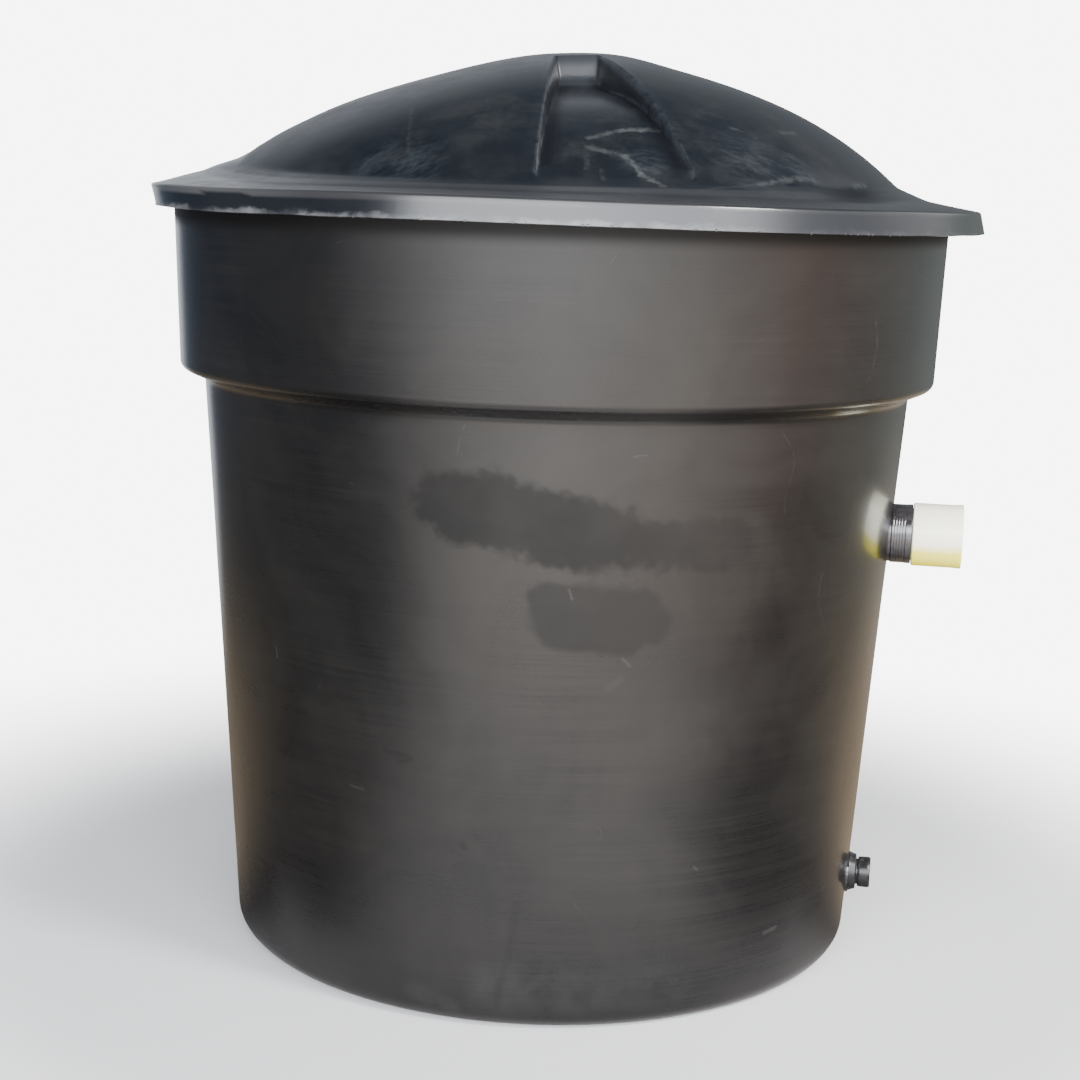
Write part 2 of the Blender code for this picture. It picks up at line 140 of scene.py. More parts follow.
def rounded(corners, steps=5, closed=True):
    """A profile with arcs at its corners. A corner is (radius, height, rounding)."""
    points = []
    count = len(corners)
    for i, (x, z, rounding) in enumerate(corners):
        here = Vector((x, z))
        if rounding <= 0 or (not closed and i in (0, count - 1)):
            points.append((x, z))
            continue
        before = Vector(corners[i - 1][:2]) - here
        after = Vector(corners[(i + 1) % count][:2]) - here
        half = before.angle(after) / 2
        if half > math.radians(89.0):
            points.append((x, z))
            continue
        reach = min(rounding / math.tan(half), 0.48 * before.length, 0.48 * after.length)
        radius = reach * math.tan(half)
        bisector = (before.normalized() + after.normalized()).normalized()
        centre = here + bisector * radius / math.sin(half)
        start = here + before.normalized() * reach - centre
        end = here + after.normalized() * reach - centre
        turn = start.angle_signed(end)
        for step in range(steps + 1):
            spoke = start.copy()
            spoke.rotate(Matrix.Rotation(-turn * step / steps, 2))
            points.append(tuple(centre + spoke))
    return points


def subdivided(points, longest, closed=False):
    """The same profile with no step longer than a length."""
    made = []
    following = points[1:] + (points[:1] if closed else [])
    for start, end in zip(points, following):
        pieces = max(1, math.ceil(math.dist(start, end) / longest))
        for step in range(pieces):
            share = step / pieces
            made.append(tuple(a + (b - a) * share for a, b in zip(start, end)))
    if not closed:
        made.append(points[-1])
    return made


def inset(points, distance):
    """An open profile moved to its left by a distance, square to itself."""
    moved = []
    for i, point in enumerate(points):
        before = Vector(points[max(i - 1, 0)])
        after = Vector(points[min(i + 1, len(points) - 1)])
        along = (after - before).normalized()
        moved.append((max(point[0] - along.y * distance, 0.0), point[1] + along.x * distance))
    return moved


def finish_mesh(thing, sharp_degrees=40.0):
    thing.data.shade_smooth()
    thing.data.set_sharp_from_angle(angle=math.radians(sharp_degrees))


def bake_modifiers(thing):
    """Turns the evaluated object into its own plain mesh and drops the modifiers."""
    bpy.context.view_layer.update()
    graph = bpy.context.evaluated_depsgraph_get()
    mesh = bpy.data.meshes.new_from_object(thing.evaluated_get(graph))
    thing.modifiers.clear()
    old = thing.data
    thing.data = mesh
    bpy.data.meshes.remove(old)


def new_attributes(mesh, *names):
    """One number for each point under each name, for the shaders to read."""
    for name in names:
        mesh.attributes.new(name, "FLOAT", "POINT")
    return [mesh.attributes[name].data for name in names]


def share_between(value, start, end):
    """How far a value has come from a start to an end, from 0 to 1."""
    return max(0.0, min(1.0, (value - start) / (end - start)))


def lie_along(thing, angle, height):
    """Turns a fitting's own +Z outwards at an angle round the tank, and applies its place."""
    outwards = Matrix.Rotation(angle, 4, "Z") @ Matrix.Rotation(math.pi / 2, 4, "Y")
    thing.data.transform(Matrix.Translation((0, 0, height)) @ outwards)


def give(piece, material, body, slot, *nodes):
    """Dresses a piece, hangs it on the body it rides on and hides the frame nodes it stands for."""
    piece.data.materials.clear()
    piece.data.materials.append(material)
    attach(piece, body)
    if nodes:
        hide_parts(*nodes)


# Node trees


class Graph:
    """Places nodes in a tree and joins them."""

    def __init__(self, tree):
        self.tree = tree

    def node(self, kind, inputs=None, **settings):
        made = self.tree.nodes.new(kind)
        for name, value in settings.items():
            setattr(made, name, value)
        for name, value in (inputs or {}).items():
            self.join(value, made.inputs[name])
        return made

    def join(self, value, socket):
        if isinstance(value, bpy.types.NodeSocket):
            self.tree.links.new(value, socket)
        else:
            socket.default_value = value

    def math(self, operation, a, b=0.0, c=0.0, clamp=False):
        made = self.node("ShaderNodeMath", operation=operation, use_clamp=clamp)
        for value, socket in zip((a, b, c), made.inputs):
            self.join(value, socket)
        return made.outputs[0]

    def vector(self, operation, a, b=(0.0, 0.0, 0.0)):
        made = self.node("ShaderNodeVectorMath", operation=operation)
        self.join(a, made.inputs[0])
        self.join(b, made.inputs[1])
        return made.outputs["Value"] if operation in ("DOT_PRODUCT", "LENGTH") else made.outputs[0]

    def scaled(self, vector, factor):
        made = self.node("ShaderNodeVectorMath", {0: vector, "Scale": factor}, operation="SCALE")
        return made.outputs[0]

    def attribute(self, name):
        return self.node("ShaderNodeAttribute", attribute_name=name).outputs["Fac"]

    def noise(self, vector, scale, detail=4.0, roughness=0.55):
        inputs = {"Vector": vector, "Scale": scale, "Detail": detail, "Roughness": roughness}
        return self.node("ShaderNodeTexNoise", inputs).outputs["Fac"]

    def span(self, value, low, high, to_low=0.0, to_high=1.0):
        """A smooth passage from one value to another as a value crosses a span."""
        inputs = {"Value": value, "From Min": low, "From Max": high,
                  "To Min": to_low, "To Max": to_high}
        return self.node("ShaderNodeMapRange", inputs, interpolation_type="SMOOTHSTEP").outputs[0]

    def mix(self, share, low, high):
        """A colour between two, by a share."""
        made = self.node("ShaderNodeMix", data_type="RGBA")
        self.join(share, made.inputs["Factor"])
        self.join(low, made.inputs[6])
        self.join(high, made.inputs[7])
        return made.outputs[2]

    def painted(self, colour, layers):
        """A colour under layers, each a mask, a strength and its own colour."""
        for mask, strength, paint in layers:
            colour = self.mix(self.math("MULTIPLY", mask, strength), colour, (*paint, 1.0))
        return colour

    def raised(self, value, steps):
        """A value that each mask adds its own amount to."""
        for mask, amount in steps:
            value = self.math("MULTIPLY_ADD", mask, amount, value)
        return value

    def group(self, tree, **inputs):
        named = {name.replace("_", " ").title(): value for name, value in inputs.items()}
        made = self.node("ShaderNodeGroup", node_tree=tree)
        for name, value in named.items():
            self.join(value, made.inputs[name])
        return made.outputs[0]


def new_input(tree, name, kind, default=None):
    socket = tree.interface.new_socket(name, in_out="INPUT", socket_type="NodeSocket" + kind)
    if default is not None:
        socket.default_value = default


def geometry_tree(name, shape, inputs):
    """A tree with a shape in and out and named inputs, its graph and what it is given."""
    tree = bpy.data.node_groups.new(name, "GeometryNodeTree")
    new_input(tree, shape, "Geometry")
    for label, kind, default in inputs:
        new_input(tree, label, kind, default)
    new_input(tree, "Material", "Material")
    tree.interface.new_socket(shape, in_out="OUTPUT", socket_type="NodeSocketGeometry")
    graph = Graph(tree)
    return tree, graph, graph.node("NodeGroupInput").outputs


def put_out(graph, shape, geometry, material):
    """Sets the material and ends a Geometry Nodes tree."""
    dressed = graph.node("GeometryNodeSetMaterial", {"Geometry": geometry, "Material": material})
    graph.node("NodeGroupOutput", {shape: dressed.outputs[0]})


def round_repeat_tree():
    """Repeats a shape evenly round Z, joins the copies where they meet and sets a material."""
    inputs = (("Count", "Int", 4), ("Joining Distance", "Float", 0.0002))
    tree, graph, given = geometry_tree("repeat_round_z", "Shape", inputs)
    copies = graph.node("GeometryNodeMeshLine", {"Count": given["Count"], "Offset": (0, 0, 0)})
    share = graph.math("DIVIDE", math.tau, given["Count"])
    turn = graph.math("MULTIPLY", graph.node("GeometryNodeInputIndex").outputs[0], share)
    placed = graph.node("GeometryNodeInstanceOnPoints", {
        "Points": copies.outputs["Mesh"],
        "Instance": given["Shape"],
        "Rotation": graph.node("ShaderNodeCombineXYZ", {"Z": turn}).outputs[0],
    })
    real = graph.node("GeometryNodeRealizeInstances", {"Geometry": placed.outputs[0]})
    joined = graph.node("GeometryNodeMergeByDistance", {
        "Geometry": real.outputs[0],
        "Distance": given["Joining Distance"],
    })
    put_out(graph, "Shape", joined.outputs[0], given["Material"])
    return tree


def flash_tree():
    """Scatters flakes of moulding flash along an arc, with a fixed seed."""
    inputs = (("Radius", "Float", 0.8), ("Start", "Float", 0.0), ("Sweep", "Float", 1.0),
              ("Height", "Float", 1.4), ("Count", "Int", 20), ("Seed", "Int", 7))
    tree, graph, given = geometry_tree("flash_along_arc", "Flake", inputs)
    line = graph.node("GeometryNodeMeshLine", {"Count": given["Count"], "Offset": (0, 0, 0)})
    share = graph.node("FunctionNodeRandomValue", {"Seed": given["Seed"]}).outputs[1]
    angle = graph.math("MULTIPLY_ADD", share, given["Sweep"], given["Start"])
    x = graph.math("MULTIPLY", graph.math("COSINE", angle), given["Radius"])
    y = graph.math("MULTIPLY", graph.math("SINE", angle), given["Radius"])
    place = graph.node("ShaderNodeCombineXYZ", {"X": x, "Y": y, "Z": given["Height"]}).outputs[0]
    points = graph.node("GeometryNodeSetPosition", {
        "Geometry": line.outputs["Mesh"],
        "Position": place,
    })
    size = graph.node("FunctionNodeRandomValue", {
        "Min": (0.4, 0.7, 0.4),
        "Max": (1.5, 1.0, 1.4),
        "Seed": graph.math("ADD", given["Seed"], 1),
    }, data_type="FLOAT_VECTOR")
    placed = graph.node("GeometryNodeInstanceOnPoints", {
        "Points": points.outputs[0],
        "Instance": given["Flake"],
        "Rotation": graph.node("ShaderNodeCombineXYZ", {"Z": angle}).outputs[0],
        "Scale": size.outputs[0],
    })
    real = graph.node("GeometryNodeRealizeInstances", {"Geometry": placed.outputs[0]})
    put_out(graph, "Flake", real.outputs[0], given["Material"])
    return tree


def grow(thing, tree, **values):
    """Runs a Geometry Nodes tree on an object and keeps the result as its plain mesh."""
    modifier = thing.modifiers.new(tree.name, "NODES")
    modifier.node_group = tree
    for socket in tree.interface.items_tree:
        key = socket.name.lower().replace(" ", "_")
        if socket.in_out == "INPUT" and key in values:
            modifier[socket.identifier] = values[key]
    bake_modifiers(thing)


# Shader groups


def shader_group(name, inputs, output):
    """A shader node group with named inputs and one output, and its graph."""
    tree = bpy.data.node_groups.new(name, "ShaderNodeTree")
    for label, default in inputs.items():
        new_input(tree, label, "Vector" if isinstance(default, tuple) else "Float", default)
    tree.interface.new_socket(output, in_out="OUTPUT", socket_type="NodeSocketFloat")
    graph = Graph(tree)
    return tree, graph, graph.node("NodeGroupInput").outputs


def brushing_group():
    """Fine level lines round the tank, left by the mould's turned surface."""
    tree, g, given = shader_group("level_brushing", {"Place": (0, 0, 0), "Lines": 260.0}, "Line")
    stretch = g.node("ShaderNodeCombineXYZ", {"X": 3.0, "Y": 3.0, "Z": given["Lines"]}).outputs[0]
    stretched = g.vector("MULTIPLY", given["Place"], stretch)
    fine = g.noise(stretched, 1.0, 3.0, 0.6)
    broad = g.noise(g.vector("MULTIPLY", stretched, (1.4, 1.4, 0.16)), 1.0, 2.0)
    both = g.math("MULTIPLY_ADD", fine, 0.65, g.math("MULTIPLY", broad, 0.35))
    kept = g.span(g.noise(given["Place"], 2.6, 3.0), 0.36, 0.62, 0.25, 1.0)
    g.node("NodeGroupOutput", {"Line": g.math("MULTIPLY", g.span(both, 0.34, 0.66), kept)})
    return tree


def cloud_group():
    """Broad uneven patches, as of chalking and handling."""
    tree, g, given = shader_group("handling_clouds", {"Place": (0, 0, 0), "Scale": 3.0}, "Cloud")
    warp = g.node("ShaderNodeTexNoise", {"Vector": given["Place"], "Scale": 2.0})
    bent = g.vector("ADD", given["Place"], warp.outputs["Color"])
    cloud = g.noise(bent, given["Scale"], 6.0, 0.62)
    g.node("NodeGroupOutput", {"Cloud": g.span(cloud, 0.36, 0.68)})
    return tree


def scratch_group():
    """Sparse thin curved scratches, broken into short runs."""
    inputs = {"Place": (0, 0, 0), "Scale": 4.0, "Width": 0.004, "Sparseness": 0.60}
    tree, g, given = shader_group("thin_scratches", inputs, "Scratch")
    band = g.noise(given["Place"], given["Scale"], 1.0, 0.4)
    off_line = g.math("ABSOLUTE", g.math("SUBTRACT", band, 0.5))
    line = g.span(off_line, 0.0, given["Width"], 1.0, 0.0)
    run = g.noise(given["Place"], 9.0, 2.0)
    kept = g.math("GREATER_THAN", run, given["Sparseness"])
    faint = g.noise(given["Place"], 90.0, 2.0)
    mark = g.math("MULTIPLY", g.math("MULTIPLY", line, kept), g.span(faint, 0.35, 0.6))
    g.node("NodeGroupOutput", {"Scratch": mark})
    return tree


def stroke_group():
    """How far a point lies from a line between two points, in the line's own half widths."""
    inputs = {"Place": (0, 0, 0), "Start": (0, 0, 0), "End": (0, 0, 1), "Width": 0.01}
    tree, g, given = shader_group("stroke_reach", inputs, "Reach")
    away = g.vector("SUBTRACT", given["Place"], given["Start"])
    run = g.vector("SUBTRACT", given["End"], given["Start"])
    length = g.vector("DOT_PRODUCT", run, run)
    share = g.math("DIVIDE", g.vector("DOT_PRODUCT", away, run), length, clamp=True)
    distance = g.vector("LENGTH", g.vector("SUBTRACT", away, g.scaled(run, share)))
    g.node("NodeGroupOutput", {"Reach": g.math("DIVIDE", distance, given["Width"])})
    return tree


def scuff_group():
    """Fine rubbing drawn out along one direction."""
    inputs = {"Place": (0, 0, 0), "Along": (1, 0, 0), "Fine": 150.0}
    tree, g, given = shader_group("drawn_out_scuffing", inputs, "Scuff")
    run = g.vector("DOT_PRODUCT", given["Place"], given["Along"])
    shortened = g.scaled(g.scaled(given["Along"], run), 0.60)
    drawn = g.vector("SUBTRACT", given["Place"], shortened)
    fine = g.noise(drawn, given["Fine"], 5.0, 0.65)
    broad = g.noise(drawn, g.math("MULTIPLY", given["Fine"], 0.22), 3.0)
    both = g.math("MULTIPLY_ADD", fine, 0.5, g.math("MULTIPLY", broad, 0.5))
    g.node("NodeGroupOutput", {"Scuff": g.span(both, 0.40, 0.66)})
    return tree


def dust_group():
    """Dust where a surface faces up."""
    tree, g, given = shader_group("settled_dust", {"Place": (0, 0, 0), "Scale": 14.0}, "Dust")
    normal = g.node("ShaderNodeNewGeometry").outputs["Normal"]
    up = g.node("ShaderNodeSeparateXYZ", {"Vector": normal}).outputs["Z"]
    level = g.span(up, 0.45, 0.98)
    settled = g.span(g.noise(given["Place"], given["Scale"], 6.0, 0.65), 0.42, 0.72)
    g.node("NodeGroupOutput", {"Dust": g.math("MULTIPLY", level, settled)})
    return tree


def grain_group():
    """Height of the skin of moulded plastic: a soft orange peel over fine grain."""
    tree, g, given = shader_group("moulded_skin", {"Place": (0, 0, 0), "Peel": 60.0}, "Height")
    peel = g.noise(given["Place"], given["Peel"], 2.0)
    grain = g.noise(given["Place"], g.math("MULTIPLY", given["Peel"], 9.0), 2.0)
    height = g.math("MULTIPLY_ADD", grain, 0.1, g.math("MULTIPLY", peel, 0.9))
    g.node("NodeGroupOutput", {"Height": height})
    return tree


BRUSHING = brushing_group()
CLOUDS = cloud_group()
SCRATCHES = scratch_group()
STROKE = stroke_group()
SCUFFING = scuff_group()
DUST = dust_group()
GRAIN = grain_group()


def new_material(name):
    material = bpy.data.materials.new(name)
    material.use_nodes = True
    graph = Graph(material.node_tree)
    shader = material.node_tree.nodes["Principled BSDF"]
    place = graph.node("ShaderNodeTexCoord").outputs["Object"]
    return material, graph, shader, place


def bump(graph, shader, height, strength, distance):
    inputs = {"Strength": strength, "Distance": distance, "Height": height}
    graph.join(graph.node("ShaderNodeBump", inputs).outputs[0], shader.inputs["Normal"])


def most(graph, masks):
    """The strongest of several masks at each point."""
    strongest = masks[0]
    for mask in masks[1:]:
        strongest = graph.math("MAXIMUM", strongest, mask)
    return strongest


def wall_line():
    """The wall's radius at the floor and how much it widens with height."""
    foot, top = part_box("tank_floor")[1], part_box("tank_wall")[1]
    slope = (top.x - foot.x) / (top.z - foot.z)
    return foot.x - slope * foot.z, slope


def round_z(degrees, radius, height=0.0):
    return polar(radius, math.radians(degrees), height)


def on_wall(degrees, height):
    base, slope = wall_line()
    return round_z(degrees, base + slope * height, height)


# Marks on the tank: degrees round and height of a start and an end, half width, strength
TANK_WIPES = (
    (-96.7, 0.951, -88.0, 0.962, 0.046),
    (-94.0, 0.925, -79.0, 0.922, 0.046),
    (-84.3, 0.942, -70.0, 0.905, 0.044),
    (-80.0, 0.896, -52.4, 0.888, 0.044),
)
LOWER_WIPES = (
    (-80.6, 0.796, -66.0, 0.782, 0.028),
    (-79.8, 0.762, -64.6, 0.750, 0.034),
    (-78.6, 0.735, -68.5, 0.724, 0.028),
)
TANK_MARKS = (
    (-77.3, 0.813, -76.7, 0.796, 0.0020, 0.15),
    (-68.9, 0.691, -67.8, 0.678, 0.0024, 0.11),
    (-70.7, 0.638, -69.0, 0.656, 0.0050, 0.04),
    (-38.8, 0.139, -36.0, 0.143, 0.0032, 0.14),
    (-55.0, 0.300, -54.4, 0.294, 0.0020, 0.12),
    (-112.0, 0.420, -109.5, 0.418, 0.0018, 0.08),
    (35.0, 0.560, 37.0, 0.530, 0.0030, 0.24),
    (148.0, 0.700, 151.0, 0.706, 0.0028, 0.22),
    (-150.0, 0.350, -148.5, 0.310, 0.0030, 0.18),
)
# Dark lines on a wall with no crease in its shape: painted crease shade, in the same columns as the
# marks.
TANK_CREASE_SHADES = (
    (-105.6, 0.498, -101.2, 0.494, 0.0045, 0.40),
    (-103.0, 0.482, -100.6, 0.490, 0.0032, 0.40),
    (-92.6, 0.345, -92.0, 0.339, 0.0055, 0.50),
    (-83.6, 0.239, -86.5, 0.040, 0.0060, 0.20),
)
TANK_CHALKED = (
    (-88.0, 0.075, -60.0, 0.070, 0.050, 0.36),
    (-101.0, 0.055, -94.0, 0.030, 0.018, 0.40),
    (-60.0, 0.560, -52.0, 0.540, 0.060, 0.18),
    (60.0, 0.400, 85.0, 0.360, 0.070, 0.30),
    (170.0, 0.900, 190.0, 0.860, 0.060, 0.30),
)
# Marks and painted highlights on the lid, in plan: degrees round and radius in place of degrees
# round and height
LID_MARKS_AND_HIGHLIGHTS = (
    (-75.3, 0.526, -69.0, 0.497, 0.0056, 0.38),
    (-69.0, 0.497, -61.6, 0.490, 0.0060, 0.58),
    (-75.5, 0.556, -69.8, 0.578, 0.0058, 0.36),
    (-69.8, 0.578, -68.1, 0.614, 0.0060, 0.50),
    (-68.1, 0.614, -65.7, 0.655, 0.0056, 0.62),
    (-76.0, 0.577, -76.4, 0.605, 0.0044, 0.14),
    (-74.2, 0.610, -73.9, 0.636, 0.0036, 0.14),
    (-114.9, 0.467, -105.9, 0.596, 0.0036, 0.10),
    (-45.6, 0.512, -44.0, 0.520, 0.0040, 0.24),
    (-32.5, 0.520, -28.0, 0.520, 0.0050, 0.24),
    # Painted highlights: a light line along the seam towards the dent, and a light spot in the
    # dent.
    (-60.5, 0.671, -49.7, 0.645, 0.0026, 0.16),
    (-49.7, 0.645, -37.0, 0.629, 0.0040, 0.30),
    (-27.0, 0.641, -23.5, 0.641, 0.0046, 0.34),
    (52.0, 0.380, 60.0, 0.410, 0.0050, 0.40),
    (140.0, 0.550, 146.0, 0.510, 0.0060, 0.40),
    (-160.0, 0.480, -151.0, 0.500, 0.0045, 0.35),
)
# Broad areas of fine scuffing on the lid: degrees round and radius of the middle, reach, strength
LID_SCUFFED = (
    (-104.0, 0.625, 0.085, 0.80),
    (-111.0, 0.610, 0.060, 0.60),
    (-67.0, 0.590, 0.060, 0.80),
    (-48.0, 0.600, 0.110, 0.55),
    (-38.0, 0.610, 0.070, 0.60),
    (120.0, 0.550, 0.120, 0.80),
    (45.0, 0.500, 0.110, 0.60),
)
SCUFFED_ALONG = (0.91, 0.41, 0.0)


def ragged(graph, place, scale, amount):
    """Noise about nought that bends the outline of a mark."""
    off_middle = graph.math("SUBTRACT", graph.noise(place, scale, 3.0, 0.5), 0.5)
    return graph.math("MULTIPLY", off_middle, amount)


def reaches(graph, place, marks, at):
    for from_degrees, from_level, to_degrees, to_level, width, *_ in marks:
        yield graph.group(STROKE, place=place, start=at(from_degrees, from_level),
                          end=at(to_degrees, to_level), width=width)


def strokes(graph, place, marks, rag, softness, at=on_wall):
    """The strongest of a list of marks, each by its own strength."""
    masks = []
    for reach, mark in zip(reaches(graph, place, marks, at), marks):
        torn = graph.math("ADD", reach, rag)
        masks.append(graph.span(torn, 1.0 - softness, 1.0 + softness, mark[-1], 0.0))
    return most(graph, masks)


def patch(graph, place, marks, rag, softness, at=on_wall):
    """One patch that takes in all of a list of marks."""
    nearest, *others = reaches(graph, place, marks, at)
    for reach in others:
        nearest = graph.math("MINIMUM", nearest, reach)
    return graph.span(graph.math("ADD", nearest, rag), 1.0 - softness, 1.0 + softness, 1.0, 0.0)


def scuffed_areas(graph, place, areas):
    """Fine scuffing that fades out from the middle of each area."""
    masks = []
    for degrees, radius, reach, strength in areas:
        away = graph.vector("LENGTH", graph.vector("SUBTRACT", place, round_z(degrees, radius)))
        masks.append(graph.span(away, 0.15 * reach, reach, strength, 0.0))
    texture = graph.group(SCUFFING, place=place, along=SCUFFED_ALONG, fine=130.0)
    return graph.math("MULTIPLY", most(graph, masks), texture)


# Materials


def tank_polyethylene():
    """Black moulded polyethylene with level brushing, wiped patches, scratches and dust, and
    painted shade under the lid's skirt and along crease lines.
    """
    material, g, shader, place = new_material("tank_polyethylene")
    line = g.group(BRUSHING, place=place, lines=240.0)
    cloud = g.group(CLOUDS, place=place, scale=2.4)
    scratch = g.group(SCRATCHES, place=place, scale=5.0, width=0.003, sparseness=0.63)
    dust = g.group(DUST, place=place, scale=16.0)
    broad_rag = ragged(g, place, 11.0, 2.0)
    wiped_rag = g.math("ADD", ragged(g, place, 10.0, 0.9), ragged(g, place, 60.0, 0.8))
    fine_rag = ragged(g, place, 380.0, 3.4)
    to_right = g.vector("DOT_PRODUCT", place, tuple(SIDE))
    fading = g.span(to_right, 0.0, 0.36, 1.0, 0.40)
    upper = patch(g, place, TANK_WIPES, wiped_rag, 0.30)
    lower = g.math("MULTIPLY", patch(g, place, LOWER_WIPES, wiped_rag, 0.34), 0.68)
    thin = g.span(g.noise(place, 9.0, 4.0), 0.30, 0.62, 0.80, 1.0)
    wiped = g.math("MULTIPLY", g.math("MULTIPLY", g.math("MAXIMUM", upper, lower), thin), fading)
    rubbed = strokes(g, place, TANK_MARKS, fine_rag, 0.8)
    # Painted shade along the crease lines: darker colour and less sheen.
    crease_shade = strokes(g, place, TANK_CREASE_SHADES, fine_rag, 0.6)
    level = g.node("ShaderNodeSeparateXYZ", {"Vector": place}).outputs["Z"]
    # Painted shadow: a band just under the lid's skirt is darkened and loses its sheen.
    painted_shade_under_skirt = g.span(level, SKIRT_LOW.z - 0.034, SKIRT_LOW.z - 0.006)
    chalked = g.math("MULTIPLY", strokes(g, place, TANK_CHALKED, broad_rag, 0.6),
                     g.span(g.noise(place, 22.0, 6.0, 0.65), 0.28, 0.72))

    plain = g.mix(cloud, (0.0022, 0.0022, 0.0024, 1), (0.0068, 0.0063, 0.0058, 1))
    g.join(g.painted(plain, (
        (line, 0.17, (0.024, 0.022, 0.019)),
        (chalked, 0.30, (0.060, 0.060, 0.063)),
        (wiped, 0.80, (0.0045, 0.0042, 0.0038)),
        (painted_shade_under_skirt, 0.80, (0.003, 0.003, 0.003)),
        (scratch, 0.14, (0.100, 0.097, 0.090)),
        (rubbed, 1.00, (0.110, 0.105, 0.095)),
        (crease_shade, 0.80, (0.003, 0.003, 0.003)),
        (dust, 0.30, (0.100, 0.095, 0.085)),
    )), shader.inputs["Base Color"])
    g.join(g.raised(0.26, (
        (cloud, 0.06), (line, 0.035), (chalked, 0.08), (wiped, 0.15), (painted_shade_under_skirt, 0.20),
        (g.math("MAXIMUM", scratch, rubbed), 0.22), (dust, 0.30),
    )), shader.inputs["Roughness"])
    # Sheen is taken away in the wiped patches, and as painted shade under the skirt and along the
    # crease lines.
    dulled_and_shaded = most(g, [wiped, painted_shade_under_skirt, g.math("MULTIPLY", crease_shade, 0.7)])
    own_sheen(g, shader, g.math("MULTIPLY_ADD", dulled_and_shaded, -0.60, 0.60), 0.15)

    skin = g.group(GRAIN, place=place, peel=55.0)
    bump(g, shader, g.math("MULTIPLY_ADD", scratch, -0.2, skin), 0.25, 0.0006)
    return material


def own_sheen(graph, shader, sheen, roughness):
    """Half of the plastic's gloss lies in its skin, which can be lessened from place to place, for
    wear and for painted shade.
    """
    shader.inputs["Specular IOR Level"].default_value = 0.25
    shader.inputs["Coat Roughness"].default_value = roughness
    graph.join(sheen, shader.inputs["Coat Weight"])


def lid_polyethylene():
    """The same black plastic on the lid, with scuffs, bright rubbed edges and settled dust, painted
    shade, painted light and painted highlights.
    """
    material, g, shader, place = new_material("lid_polyethylene")
    plan = g.vector("MULTIPLY", place, (1.0, 1.0, 0.0))
    cloud = g.group(CLOUDS, place=place, scale=3.5)
    scratch = g.group(SCRATCHES, place=place, scale=6.0, width=0.003, sparseness=0.60)
    dust = g.group(DUST, place=place, scale=11.0)
    worn_through = g.span(g.noise(place, 75.0, 5.0, 0.65), 0.34, 0.60, 0.25, 1.0)
    streaks_and_highlights = strokes(g, plan, LID_MARKS_AND_HIGHLIGHTS, ragged(g, place, 90.0, 3.4), 0.8, at=round_z)
    # Rubbed streaks, and the painted highlights along the seam and in the dent, broken up alike.
    rubbed = g.math("MULTIPLY", streaks_and_highlights, worn_through)
    scuffed = scuffed_areas(g, plan, LID_SCUFFED)
    # Painted shade in the recess walls and the dent: darker colour and less sheen.
    hollow_shade = g.attribute("hollow_shade")
    foot = g.attribute("foot")
    broken = g.span(g.noise(place, 45.0, 5.0, 0.7), 0.30, 0.62)
    edge_wear = g.math("MULTIPLY", g.attribute("rubbed_edge"), broken)
    to_right = g.vector("DOT_PRODUCT", place, tuple(SIDE))
    chalky = g.math("MULTIPLY", g.span(to_right, -0.62, -0.36, 0.76, 0.27),
                    g.span(to_right, 0.0, 0.6, 1.0, 0.35))
    tearing = g.noise(g.vector("MULTIPLY", place, (1.0, 1.0, 1.6)), 26.0, 5.0, 0.7)
    torn = g.span(g.math("ADD", foot, g.math("MULTIPLY", tearing, 1.9)), 1.30, 2.00)
    here_and_there = g.span(g.noise(plan, 9.0, 3.0), 0.36, 0.60, 0.15, 1.0)
    to_left = g.span(to_right, 0.05, 0.35, 1.0, 0.12)
    torn = g.math("MULTIPLY", torn, g.math("MULTIPLY", here_and_there, to_left))

    plain = g.mix(cloud, (0.0042, 0.0050, 0.0068, 1), (0.0070, 0.0080, 0.0100, 1))
    g.join(g.painted(plain, (
        (g.attribute("flange"), chalky, (0.070, 0.068, 0.067)),
        # Painted light: each recess's end wall is painted paler and bluer.
        (g.attribute("recess_end"), 0.35, (0.050, 0.054, 0.060)),
        (scratch, 0.14, (0.080, 0.080, 0.080)),
        (edge_wear, 0.35, (0.060, 0.068, 0.078)),
        (scuffed, 0.32, (0.062, 0.074, 0.084)),
        (rubbed, 0.66, (0.100, 0.108, 0.106)),
        (dust, 0.12, (0.080, 0.080, 0.075)),
        (hollow_shade, 0.70, (0.004, 0.004, 0.005)),
        (torn, 1.00, (0.105, 0.108, 0.112)),
    )), shader.inputs["Base Color"])
    g.join(g.raised(0.28, (
        (cloud, 0.04), (g.attribute("skirt"), -0.10), (most(g, [scratch, rubbed, scuffed]), 0.16),
        (g.math("MAXIMUM", dust, torn), 0.18),
    )), shader.inputs["Roughness"])
    own_sheen(g, shader, g.math("MULTIPLY_ADD", hollow_shade, -0.52, 0.54), 0.20)

    skin = g.group(GRAIN, place=place, peel=48.0)
    bump(g, shader, g.math("MULTIPLY_ADD", scratch, -0.3, skin), 0.25, 0.0007)
    return material


def small_moulding(g, shader, place, cloud, gloss, peel, strength):
    """Roughness that varies with the clouds, over the fine grain of a small piece."""
    smoothest, spread = gloss
    g.join(g.math("MULTIPLY_ADD", cloud, spread, smoothest), shader.inputs["Roughness"])
    bump(g, shader, g.group(GRAIN, place=place, peel=peel), strength, 0.0003)


